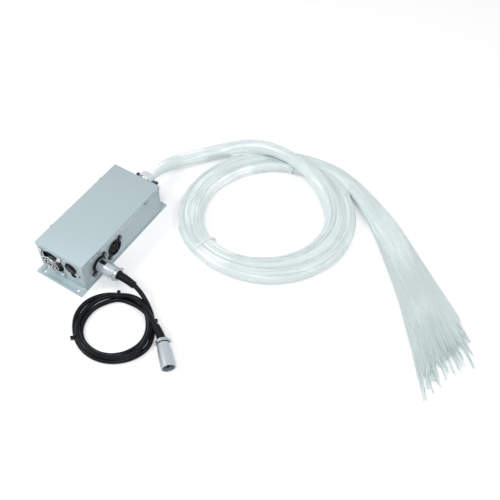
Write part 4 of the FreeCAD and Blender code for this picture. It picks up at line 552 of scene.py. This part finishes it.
FINISH_OF = {
    "case": "base_plate housing_walls top_cover",
    "cover_screw": "cover_screws",
    "zinc": "base_screws fan_screws hex_nuts board_screws board_standoffs "
            "sink_bracket dc_jack_nut port_nut",
    "dark_screw": "socket_screws",
    "fan": "fan_frame fan_rotor",
    "chrome": "fan_guard",
    "black": "switch_body dc_jack xlr_in_insert xlr_out_insert plug_a_insert lens_holder",
    "rocker": "switch_rocker",
    "socket": "xlr_in_body xlr_out_body xlr_out_latch",
    "brass": "xlr_in_pins xlr_out_contacts",
    "pin": "connector_pins",
    "insert": "connector_insert",
    "lens": "indicator_lens",
    "port": "port_sleeve clamp_collar fibre_ferrule led_heatsink",
    "thumb": "thumb_screw_left thumb_screw_right",
    "fibre": "fibre_core fibre_lead fibre_coil fibre_tail fibre_spray",
    "tie_clear": "fibre_ties collimator_lens",
    "shell": "plug_a_shell connector_shell",
    "ring": "plug_a_ring connector_ring",
    "latch": "plug_a_latch",
    "boot": "plug_a_boot connector_boot",
    "cable": "cable_lead cable_coil cable_end",
    "tie_black": "cable_ties",
    "board": "driver_board led_board",
    "parts": "board_parts",
    "emitter": "led_emitter",
    "wire": "wiring",
}


def finish(piece, name):
    """Gives a piece its finish and nothing else."""
    piece.data.materials.clear()
    piece.data.materials.append(FINISHES[name])


for finish_name, node_names in FINISH_OF.items():
    for node_name in node_names.split():
        finish(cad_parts[node_name], finish_name)


# ---------------------------------------------------------------- camera, floor and light
FLOOR_REACH = 6.0


def aimed(data, at, target, roll=0.0):
    """Links a camera or a lamp that stands at one point and looks at another."""
    made = bpy.data.objects.new(data.name, data)
    turned = (Vector(target) - Vector(at)).to_track_quat("-Z", "Y").to_matrix().to_4x4()
    turned = turned @ Matrix.Rotation(math.radians(roll), 4, "Z")
    made.matrix_world = Matrix.Translation(at) @ turned
    bpy.context.scene.collection.objects.link(made)
    return made


def set_camera():
    camera = bpy.data.cameras.new("camera")
    camera.lens = CAMERA_LENS
    camera.sensor_width = 36.0
    camera.clip_start = 0.01
    camera.clip_end = 20.0
    bpy.context.scene.camera = aimed(camera, CAMERA_AT, CAMERA_LOOKS_AT, CAMERA_ROLL)


def area_light(name, at, target, width, power):
    lamp = bpy.data.lights.new(name, "AREA")
    lamp.shape = "DISK"
    lamp.size = width
    lamp.energy = power
    aimed(lamp, at, target)


def seen_white(tree):
    """1 for rays from the camera, from a reflection or through glass, and 0 for the rays that light."""
    path = node(tree, "LightPath")
    either = maths(tree, "MAXIMUM", path.outputs["Is Camera Ray"], path.outputs["Is Glossy Ray"])
    return maths(tree, "MAXIMUM", either, path.outputs["Is Transmission Ray"])


def set_floor():
    """A pale floor that shows white where nothing shades it."""
    mesh = bpy.data.meshes.new("floor")
    mesh.from_pydata([(x * FLOOR_REACH, y * FLOOR_REACH, 0) for x, y in ((-1, -1), (1, -1), (1, 1), (-1, 1))],
                     [], [(0, 1, 2, 3)])
    floor = bpy.data.objects.new("floor", mesh)
    bpy.context.scene.collection.objects.link(floor)
    made = bpy.data.materials.new("pale_floor")
    tree = cleared(made)
    plain = node(tree, "BsdfDiffuse", {"Color": (0.86, 0.86, 0.86, 1)})
    glow = node(tree, "Emission", {"Color": (1, 1, 1, 1),
                                   "Strength": maths(tree, "MULTIPLY", seen_white(tree), 0.30)})
    both = node(tree, "AddShader", {0: plain.outputs[0], 1: glow.outputs[0]})
    node(tree, "OutputMaterial", {"Surface": both.outputs[0]})
    mesh.materials.append(made)


def set_world():
    """White all round, at half strength for the rays that light."""
    world = bpy.data.worlds.new("studio")
    bpy.context.scene.world = world
    tree = cleared(world)
    strength = maths(tree, "ADD", 0.50, maths(tree, "MULTIPLY", seen_white(tree), 0.50))
    back = node(tree, "Background", {"Color": (1, 1, 1, 1), "Strength": strength})
    node(tree, "OutputWorld", {"Surface": back.outputs[0]})


set_camera()
set_floor()
set_world()
area_light("key", (-0.80, 0.90, 1.40), (0.05, -0.1, 0), 0.42, 9.0)
area_light("side", (-0.75, -0.45, 1.75), (0.05, -0.2, 0), 0.42, 8.0)
area_light("front", (0.15, -1.15, 1.55), (0.15, -0.2, 0), 0.30, 4.5)
bpy.context.scene.view_settings.view_transform = "Standard"


# ---------------------------------------------------------------- the fibre bundle
BUNDLE_SPACING = 4.0
BUNDLE_SIDES = 28
BUNDLE_VOXEL = 1.9
BUNDLE_RELAX = 26
# What the relaxing takes off the radius, and the least half height where the middle line runs low
BUNDLE_SWELL = 0.6
BUNDLE_LOW = 2.0
# The angle at which the two turns end, in degrees counted on from turn to turn. The fill between them stops
# a little before it, is a share of their height, and fades in and out over so many steps
TURNS_END = FIBRE_TURNS[-1][0] - 2 * 360
FILL_SHORT = 20
FILL_HEIGHT = 0.98
FILL_FADE = 8
# Grooves along the fibres: their depth and the widths of the waves that make them
BUNDLE_GROOVES = ((0.13, (9.0, 6.3, 4.7)), (0.08, (3.1, 2.6)))
FAN_GROOVES = ((0.22, (5.4, 3.7, 2.9)), (0.09, (1.7, 1.3)))
# The circle that the pattern walks once a turn, and the angle over which it moves over to the next turn
PATTERN_WALK = 2.5
PATTERN_EASE = 1.2
# The least height over the floor of the bundle's skin, of the fan's and of a single fibre's underside
SKIN_CLEAR = 0.15
FAN_CLEAR = 0.12
FIBRE_CLEAR = 0.1
FIBRE_RADIUS = 0.48
STRAND_SIDES = 4
FAN_SIDES = 96
FAN_STEPS = 90
FAN_SPACING = 5.0
FAN_MARGIN = 0.022
FAN_THIN_STEPS = 16
# The half width over which the fan's grooves are laid out, and the distance along it for each radian of the
# sines that they wander with
FAN_GROOVE_SPAN = 26
FAN_GROOVE_WANDER = 105
SPREAD_COUNT = 640
SPREAD_STEPS = 30
# Shares of the spread end's length: between which two the loose fibres start, where they begin to mix with
# other layers and over how much, and over how much each one comes out of the body
SPREAD_START = (0.30, 0.56)
SPREAD_MIX = (0.62, 0.22)
SPREAD_EMERGE = 0.24
# Small gaps between the loose fibres: how many, how wide each opens and how far sideways it is felt
GAP_COUNT = 40
GAP_OPENS = 0.022
GAP_FELT = 0.035
LONG_SHARE = 0.17
TUFT_PULL = 0.72
# A tuft draws together from this far before the mass ends, over this distance
TUFT_BEFORE = 0.045
TUFT_OVER = 0.085
STRAY_COUNT = 56
STRAY_STEPS = 44
STRAY_LONG = (28, 80)
# How far from the middle line a stray looks for the skin, and its height over it at its middle and ends
STRAY_AIM = 11
STRAY_RISE = 0.75
STRAY_SUNK = 0.45


def around(angle, distance, centre):
    """A floor point at an angle in degrees and a distance from a centre."""
    turn = math.radians(angle)
    return centre[0] + distance * math.cos(turn), centre[1] + distance * math.sin(turn)


def bundle_route():
    turns = [around(angle, distance, FIBRE_TURNS_AT) + (z, r) for angle, distance, z, r in FIBRE_TURNS]
    return FIBRE_LEAD + turns + FIBRE_TAIL


def turn_angles(line):
    """The distance of a line's points from the turns' centre, their angle round it, which goes on from turn
    to turn, and the index where the turns begin."""
    offset = line[:, :2] - FIBRE_TURNS_AT
    angle = np.unwrap(np.arctan2(offset[:, 1], offset[:, 0]))
    return np.linalg.norm(offset, axis=1), angle, int(np.argmax(angle < math.radians(FIBRE_TURNS[0][0])))


def between_turns(line, radius):
    """The fibres that fill the valley between the two turns: at each angle a flat tube halfway between the
    first turn and the second, as wide as their middles are apart and hardly lower than they are."""
    _, angle, first = turn_angles(line)
    last = len(line) - int(np.argmax(angle[::-1] > math.radians(TURNS_END + FILL_SHORT)))
    second = np.arange(first, last)
    turned = -angle[second]
    index = second[turned < turned[-1] - 2 * np.pi]
    pair = np.stack([np.interp(-angle[index] + 2 * np.pi, turned, line[second, k]) for k in range(3)], -1)
    size = (radius[index] + np.interp(-angle[index] + 2 * np.pi, turned, radius[second])) / 2
    half = np.linalg.norm(pair - line[index], axis=1) / 2
    fade = np.clip(np.minimum(np.arange(len(index)), np.arange(len(index))[::-1]) / FILL_FADE, 0.3, 1)
    wide = np.broadcast_to((half * fade)[:, None], (len(index), BUNDLE_SIDES))
    high = np.broadcast_to((FILL_HEIGHT * size * fade)[:, None], wide.shape)
    return one_tube((line[index] + pair) / 2, wide, high)


def bundle_skin(line, radius):
    """The whole bundle as one skin: its tube and the fill between its turns, melted together."""
    size = np.broadcast_to((radius + BUNDLE_SWELL)[:, None], (len(line), BUNDLE_SIDES))
    flat = np.minimum(size, np.maximum(line[:, 2:], BUNDLE_LOW))
    points, faces = skin_round([one_tube(line, size, flat), between_turns(line, radius)], BUNDLE_VOXEL)
    return relaxed(points, faces, BUNDLE_RELAX), faces


def ripples(across, slow, random, widths):
    """A sum of waves across the fibres. Each wave's phase wanders with two sines of a slow angle, which have
    whole numbers of waves in a full turn."""
    total = np.zeros_like(across)
    for width in widths:
        phase = random.uniform(0, 2 * np.pi, 3)
        bend = 0.8 * np.sin(slow * random.integers(2, 5) + phase[1])
        bend += 0.5 * np.sin(slow * random.integers(5, 9) + phase[2])
        total += np.sin(2 * np.pi * across / width + phase[0] + bend)
    return total / len(widths)


def grooves(across, slow, random, kinds):
    """How far the skin moves out at each point: for each kind of groove its depth times its ripples."""
    return sum(depth * ripples(across, slow, random, widths) for depth, widths in kinds)


def turn_pattern(line, gone):
    """Where the pattern of lines lies along the bundle, so that it meets between neighbouring turns.

    angle is the polar angle round the turns' centre. shift is how far a point's middle line is from that
    of the turn inside it, eased in over the end of the first turn and held along the tail. off is the
    distance along the lead before the first turn, or along the tail after the last, and 0 between.
    """
    distance, angle, first = turn_angles(line)
    last = int(np.argmax(angle < math.radians(TURNS_END)))
    inside = np.interp(-angle - 2 * np.pi, -angle[:last], distance[:last])
    shift = (distance - inside) * eased((-angle - 2 * np.pi) / PATTERN_EASE)
    shift[last:] = shift[last]
    off = np.maximum(gone[first] - gone, 0) + np.maximum(gone - gone[last], 0)
    return angle, shift, off


def fibre_bundle():
    """The bundle: its skin, pushed in and out by shallow grooves that run along it. The pattern's place is
    the offset from the middle line plus a small circle walked once a turn, so that it closes on itself."""
    random = np.random.default_rng(11)
    line, radius = followed(bundle_route(), BUNDLE_SPACING)
    points, faces = bundle_skin(line, radius)
    _, level, _ = frames(line)
    index = nearest(points, line)
    angle, shift, off = (rows[index] for rows in turn_pattern(line, run_along(line)))
    beside = ((points - line[index]) * level[index]).sum(-1) + shift
    above = points[:, 2] - line[index, 2]
    normals = outward(points, faces)
    points = points + normals * grooves(beside, angle, random, BUNDLE_GROOVES)[:, None]
    points[:, 2] = np.maximum(points[:, 2], SKIN_CLEAR)
    place = np.stack([beside + PATTERN_WALK * np.cos(angle), above + PATTERN_WALK * np.sin(angle), off], -1)
    piece = mesh_piece("fibre_bundle", points, faces.tolist(), "fibre", place * MM)
    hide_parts("fibre_lead", "fibre_coil", "fibre_tail")
    return piece, line, points, normals


def spread_line():
    """The spread end's middle line, its half width and half height, and its direction to the left."""
    line, high = followed(SPREAD, FAN_SPACING)
    wide = line[:, 2].copy()
    middle = np.column_stack([line[:, :2], high])
    ahead = unit(np.gradient(middle[:, :2], axis=0))
    return middle, wide, high, np.stack([ahead[:, 1], -ahead[:, 0]], -1)


def fan_body():
    """The close mass of the spread end as an oval skin. At the angle a its sideways place is cos a times the
    half width and its height sin a times the half height. Each line along it ends a little before the mass
    of fibres does at that place, and it thins to an edge there. Shallow grooves run along it."""
    random = np.random.default_rng(31)
    middle, wide, high, left_way = spread_line()
    angle = np.arange(FAN_SIDES) * 2 * np.pi / FAN_SIDES
    end = np.interp(np.cos(angle), *zip(*SPREAD_SOLID)) - FAN_MARGIN
    share = np.linspace(0, 1, FAN_STEPS)[:, None]
    where = share * end * (len(middle) - 1)
    spot, beside, width, rise = at_steps(where, middle[:, :2], left_way, wide, high)
    edge = np.clip((1 - share) * FAN_STEPS / FAN_THIN_STEPS, 0.12, 1) ** 0.7
    across = 0.97 * width * (0.8 + 0.2 * edge)
    over = 0.94 * rise * edge
    gone = where * FAN_SPACING
    turned = np.broadcast_to(np.cos(angle) * FAN_GROOVE_SPAN, across.shape)
    depth = grooves(turned, gone / FAN_GROOVE_WANDER, random, FAN_GROOVES) * (0.35 + 0.65 * edge)
    floor = spot + beside * ((across + depth * np.abs(np.cos(angle))) * np.cos(angle))[..., None]
    height = np.maximum(rise + (over + depth) * np.sin(angle), FAN_CLEAR)
    ring = np.concatenate([floor, height[..., None]], -1)
    place = np.stack([across * np.cos(angle), over * np.sin(angle), gone], -1) * MM
    piece = mesh_piece("fibre_fan", ring.reshape(-1, 3), tube_faces(1, FAN_STEPS, FAN_SIDES), "fibre_fan",
                       place.reshape(-1, 3))
    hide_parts("fibre_spray")
    return piece


def spread_fibres():
    """The loose ends. A fibre starts on the fan's body and keeps its sideways place as a share of the half
    width. Its height goes from the body's surface to its own level among the others. Most end where the mass
    does. The rest go on and draw together into the nearest tuft, and each ends at its own length."""
    random = np.random.default_rng(23)
    middle, wide, high, left_way = spread_line()
    rank = np.linspace(-1, 1, SPREAD_COUNT) + random.uniform(-0.004, 0.004, SPREAD_COUNT)
    solid = np.interp(rank, *zip(*SPREAD_SOLID))
    tufts = np.array(SPREAD_TUFTS)
    tuft = np.argmin(np.abs(rank[:, None] - tufts[:, 0]), axis=1)
    longer = random.uniform(0, 1, SPREAD_COUNT) < LONG_SHARE
    short_end = solid + random.uniform(-0.036, 0.004, SPREAD_COUNT)
    long_end = solid + (tufts[tuft, 1] - solid) * random.uniform(0.25, 1, SPREAD_COUNT) ** 0.8
    reach = np.where(longer, long_end, short_end)
    start = random.uniform(*SPREAD_START, SPREAD_COUNT)[:, None]
    t = start + np.linspace(0, 1, SPREAD_STEPS)[None] * (reach[:, None] - start)
    side = rank[:, None] * 0.985 + drift(random, SPREAD_COUNT, SPREAD_STEPS, 9) * 0.022
    gaps = zip(random.uniform(-0.97, 0.97, GAP_COUNT), random.uniform(0.03, 0.09, GAP_COUNT))
    for share, depth in gaps:
        opening = GAP_OPENS * np.clip(1 - (solid[:, None] - t) / depth, 0, 1)
        side = side + np.sign(side - share) * opening * np.exp(-np.abs(side - share) / GAP_FELT)
    drawn = eased((t - solid[:, None] + TUFT_BEFORE) / TUFT_OVER) * TUFT_PULL * longer[:, None]
    side = side + (tufts[tuft, 0] - rank)[:, None] * drawn
    side = np.clip(side, -1.02, 1.07)
    spot, beside, width, rise = at_steps(t * (len(middle) - 1), middle[:, :2], left_way, wide, high)
    floor = spot + beside * (side * (width - FIBRE_RADIUS))[..., None]
    mix = eased((t - SPREAD_MIX[0]) / SPREAD_MIX[1])
    emerge = np.clip((t - start) / SPREAD_EMERGE, 0, 1)
    shell = 0.74 + 0.24 * emerge + random.uniform(-0.05, 0.03, SPREAD_COUNT)[:, None]
    level = shell * (1 - mix) + random.uniform(-0.85, 1, SPREAD_COUNT)[:, None] * mix
    curve = np.sqrt(np.clip(1 - side ** 2, 0.02, 1))
    height = rise + level * (rise - FIBRE_RADIUS) * curve
    height = height + 0.25 * drift(random, SPREAD_COUNT, SPREAD_STEPS, 7) * mix
    height = np.maximum(height, FIBRE_RADIUS + FIBRE_CLEAR)
    piece = strands("fibre_ends", np.concatenate([floor, height[..., None]], -1), FIBRE_RADIUS, random)
    return piece


def surface_fibres(line, points, normals):
    """Single fibres that stand a little proud of the bundle. Each runs along the line at a slowly turning
    angle, and its points are the skin's nearest ones, moved out along the skin's normals."""
    random = np.random.default_rng(5)
    _, level, upright = frames(line)
    long = random.uniform(*STRAY_LONG, STRAY_COUNT)[:, None]
    begin = random.uniform(0.03, 1, STRAY_COUNT)[:, None] * (len(line) - STRAY_LONG[1] - 10)
    where = begin + np.linspace(0, 1, STRAY_STEPS) * long
    turn = random.uniform(-0.75, 0.75, STRAY_COUNT)[:, None]
    turn = turn + 0.3 * drift(random, STRAY_COUNT, STRAY_STEPS, 15)
    middle, beside, over = at_steps(where, line, level, upright)
    out = beside * np.sin(turn)[..., None] + over * np.cos(turn)[..., None]
    index = nearest((middle + out * STRAY_AIM).reshape(-1, 3), points)
    proud = np.sin(np.pi * np.linspace(0, 1, STRAY_STEPS)) ** 0.5 * STRAY_RISE - STRAY_SUNK
    lines = points[index].reshape(STRAY_COUNT, STRAY_STEPS, 3)
    lines = lines + normals[index].reshape(lines.shape) * proud[:, None]
    for _ in range(6):
        lines[:, 1:-1] = (lines[:, :-2] + 2 * lines[:, 1:-1] + lines[:, 2:]) / 4
    lines[..., 2] = np.maximum(lines[..., 2], FIBRE_RADIUS + FIBRE_CLEAR)
    piece = strands("fibre_strays", lines, FIBRE_RADIUS * 0.8, random)
    return piece


# The turns' section is taken within so many degrees of a tie, and the crossing lead above is left out
SECTION_WITHIN = 1.6
SECTION_HIGH = 25
SECTION_FAR = 140
TIE_SIDES = 48
TIE_ROUNDING = 0.35
# The lock's box, from and to: out from the turns' centre, along the bundle and up
LOCK_BOX = ((-3.4, 0.8), (-2.3, 2.3), (-2.0, 2.0))
LOCK_HEIGHT = 12
BOX_FACES = ((0, 1, 3, 2), (4, 6, 7, 5), (0, 4, 5, 1), (2, 3, 7, 6), (0, 2, 6, 4), (1, 5, 7, 3))


def section_hull(points, angle):
    """The outline of the turns where they are cut at an angle: in each direction the farthest point, as
    support h and its change h', gives the outline's point h n + h' t."""
    offset = points[:, :2] - FIBRE_TURNS_AT
    polar = np.degrees(np.arctan2(offset[:, 1], offset[:, 0]))
    near = np.abs((polar - angle + 180) % 360 - 180) < SECTION_WITHIN
    flat = np.stack([np.linalg.norm(offset[near], axis=1), points[near, 2]], -1)
    flat = flat[(flat[:, 1] < SECTION_HIGH) & (flat[:, 0] < SECTION_FAR)]
    turn = np.arange(TIE_SIDES) * 2 * np.pi / TIE_SIDES
    normal = np.stack([np.cos(turn), np.sin(turn)], -1)
    support = (flat @ normal.T).max(0)
    for _ in range(2):
        support = (np.roll(support, 1) + 2 * support + np.roll(support, -1)) / 4
    change = (np.roll(support, -1) - np.roll(support, 1)) / (4 * np.pi / TIE_SIDES)
    return normal * support[:, None] + np.stack([-normal[:, 1], normal[:, 0]], -1) * change[:, None]


def fibre_ties(points):
    """Clear straps round the turns: a band that follows the section's outline, and its lock."""
    parts, faces, start = [], [], 0
    ring = np.arange(TIE_SIDES)
    for angle in FIBRE_TIE_ANGLES:
        rim = section_hull(points, angle)
        rim[:, 1] = np.maximum(rim[:, 1], 0.3)
        middle = rim.mean(0)
        inner = middle + (rim - middle) * 0.985
        outer = rim + unit(rim - middle) * FIBRE_TIE_THICK
        outer[:, 1] = np.maximum(outer[:, 1], 0.05)
        turn = math.radians(angle)
        out = np.array([math.cos(turn), math.sin(turn)])
        beside = np.array([-math.sin(turn), math.cos(turn)])
        for loop, shift in ((inner, -1), (outer, -0.8), (outer, 0.8), (inner, 1)):
            floor = loop[:, :1] * out + beside * (shift * FIBRE_TIE_WIDTH / 2) + FIBRE_TURNS_AT
            parts.append(np.column_stack([floor, loop[:, 1]]))
        for k in range(4):
            a, b = start + k * TIE_SIDES, start + (k + 1) % 4 * TIE_SIDES
            after = (ring + 1) % TIE_SIDES
            faces += np.stack([a + ring, b + ring, b + after, a + after], -1).tolist()
        start += 4 * TIE_SIDES
        lock_at = rim[np.argmin(rim[:, 0] + 0.35 * np.abs(rim[:, 1] - LOCK_HEIGHT))]
        box = np.array([(x, y, z) for x in LOCK_BOX[0] for y in LOCK_BOX[1] for z in LOCK_BOX[2]])
        floor = (lock_at[0] + box[:, :1]) * out + beside * box[:, 1:2] + FIBRE_TURNS_AT
        parts.append(np.column_stack([floor, lock_at[1] + box[:, 2]]))
        faces += (start + np.array(BOX_FACES)).tolist()
        start += len(box)
    piece = mesh_piece("fibre_tie_straps", np.concatenate(parts), faces, "tie_clear", smooth=False)
    rounding = piece.modifiers.new("rounding", "BEVEL")
    rounding.width = TIE_ROUNDING * MM
    rounding.segments = 2
    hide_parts("fibre_ties")
    return piece


bundle, bundle_line, bundle_points, bundle_normals = fibre_bundle()
fan = fan_body()
spread = spread_fibres()
strays = surface_fibres(bundle_line, bundle_points, bundle_normals)
straps = fibre_ties(bundle_points)


# ---------------------------------------------------------------- the sheet-metal case
CASE_EDGE = 0.35
# Corners nearer than this are merged. Faces that meet flatter than the first angle are joined, and edges
# sharper than the second are rounded, in degrees
CASE_DOUBLES = 0.002
CASE_FLAT = 0.6
CASE_SHARP = 35


def softened(node_name, name, width):
    """A copy of a CAD node with its doubles merged and its flat faces joined, and its edges rounded."""
    shape = bmesh.new()
    shape.from_mesh(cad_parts[node_name].data)
    bmesh.ops.remove_doubles(shape, verts=shape.verts, dist=CASE_DOUBLES * MM)
    bmesh.ops.dissolve_limit(shape, angle_limit=math.radians(CASE_FLAT), verts=shape.verts,
                             edges=shape.edges)
    mesh = bpy.data.meshes.new(name)
    shape.to_mesh(mesh)
    shape.free()
    mesh.shade_smooth()
    made = new_object(name, mesh, "case")
    rounding = made.modifiers.new("rounding", "BEVEL")
    rounding.width = width * MM
    rounding.segments = 2
    rounding.limit_method = "ANGLE"
    rounding.angle_limit = math.radians(CASE_SHARP)
    rounding.harden_normals = True
    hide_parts(node_name)
    return made


for node_name, name in (("base_plate", "case_base"), ("housing_walls", "case_walls"),
                        ("top_cover", "case_cover")):
    softened(node_name, name, CASE_EDGE)


# ---------------------------------------------------------------- the data lead
def cable_route():
    """The lead's points, the turns' and the end's."""
    turns = [around(CABLE_FIRST_ANGLE - CABLE_STEP * k, distance, CABLE_COIL_AT) + (z,)
             for k, (distance, z) in enumerate(CABLE_TURNS)]
    return CABLE_LEAD + turns + CABLE_END


cable = new_object("data_cable", route_curve("data_cable", cable_route()), "cable")
cable_points = cable.data.splines[0].points
cable_points.foreach_set("radius", np.full(len(cable_points), CABLE_RADIUS * MM))
cable.data.bevel_depth = 1.0
cable.data.bevel_resolution = 6
cable.data.use_fill_caps = True
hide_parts("cable_lead", "cable_coil", "cable_end")


# ---------------------------------------------------------------- boots, slits of painted shade and the cover's hem
PLUG_LINE = [(-52.75, -66.7, 25.6), (-52.75, -69.9, 25.6), (-52.75, -78.6, 25.3),
             (-52.75, -87.3, 23.8), (-52.75, -96.0, 20.5)]
CONNECTOR_LINE = [(-97.3, -171.8, 9.5), (-94.6, -168.9, 9.5), (-90.3, -162.8, 10.6), (-86.2, -156.6, 12.0),
                  (-82.9, -150.4, 13.0)]
BOOT_STEPS = 110
BOOT_SIDES = 48
BOOT_WIDE = 5.9
BOOT_END = 4.7
BOOT_ROLL = 3.4
# The row of grooves: their depth, how many waves fit the boot, and between which shares of it they lie
GROOVE_DEEP = 0.42
GROOVE_WAVES = 9
GROOVE_SPAN = (0.25, 0.92)
# The slit: a black ring that draws the gap before a clamp ring dark, painted shade
SLIT_BORE = 7.2
SLIT_RADIUS = 8.25
SLIT_WIDE = 0.9
SLIT_EDGE = 0.1
# The hem: distance from the middle and height, half its length, and its radius
HEM_AT = (38.75, 46.2)
HEM_HALF = 82.6
HEM_RADIUS = 0.5
HEM_SIDES = 16


def grooved_boot(name, route, node_name):
    """A rubber boot round the cable: rings along the route's own curve. Its radius falls evenly to the end,
    less a row of rounded grooves that are deepest in four panels, and rolls in over the last millimetre.
    """
    line, _ = followed([row + (0,) for row in route], 0.25)
    line = at_steps(np.linspace(0, len(line) - 1, BOOT_STEPS), line)[0]
    share = np.linspace(0, 1, BOOT_STEPS)[:, None]
    angle = np.arange(BOOT_SIDES) * 2 * np.pi / BOOT_SIDES
    size = BOOT_WIDE + (BOOT_END - BOOT_WIDE) * share ** 1.2
    panel = np.clip(1.25 - 3 * np.abs(np.cos(2 * angle)), 0, 1)
    row = np.clip(0.5 + 1.3 * np.sin(share * 2 * np.pi * GROOVE_WAVES - 1), 0, 1)
    row = row * ((share > GROOVE_SPAN[0]) & (share < GROOVE_SPAN[1]))
    size = size - GROOVE_DEEP * row * (0.35 + 0.65 * panel)
    roll = np.clip((1 - share) / 0.035, 0, 1)
    size = (size - BOOT_ROLL) * np.sqrt(1 - (1 - roll) ** 2) + BOOT_ROLL
    piece = mesh_piece(name, *one_tube(line, size, size), "boot")
    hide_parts(node_name)
    return piece


def painted_shade_slit(name, origin, along):
    """Painted shade for the gap in front of a clamp ring: a thin closed black ring with its outer edges cut
    off.
    """
    points, faces = lathe([(0, SLIT_BORE), (0, SLIT_RADIUS - SLIT_EDGE), (SLIT_EDGE, SLIT_RADIUS),
                           (SLIT_WIDE - SLIT_EDGE, SLIT_RADIUS), (SLIT_WIDE, SLIT_RADIUS - SLIT_EDGE),
                           (SLIT_WIDE, SLIT_BORE)], BOOT_SIDES)
    piece = mesh_piece(name, placed(points, origin, along), faces, "boot", smooth=False)
    return piece


def cover_hem(name, side):
    """The rolled lower edge of the cover's lip: a straight round bead from end to end. Its finish is paler
    than the case's: a painted highlight along the edge.
    """
    line = np.array([(x, side * HEM_AT[0], HEM_AT[1]) for x in (-HEM_HALF, 0, HEM_HALF)], float)
    size = np.full((len(line), HEM_SIDES), HEM_RADIUS)
    piece = mesh_piece(name, *one_tube(line, size, size), "hem")
    return piece


cover_hem("cover_hem_left", 1)
cover_hem("cover_hem_right", -1)
plug_boot = grooved_boot("plug_boot", PLUG_LINE, "plug_a_boot")
far_boot = grooved_boot("far_boot", CONNECTOR_LINE, "connector_boot")
# Black rings as painted shade in the gaps before the clamp rings
plug_slit = painted_shade_slit("plug_slit", (-52.75, -65.8, 25.6), (0, -1, 0))
far_slit = painted_shade_slit("far_slit", (-97.31, -171.84, 9.5), (-0.6782, -0.7349, 0))

bpy.context.view_layer.update()
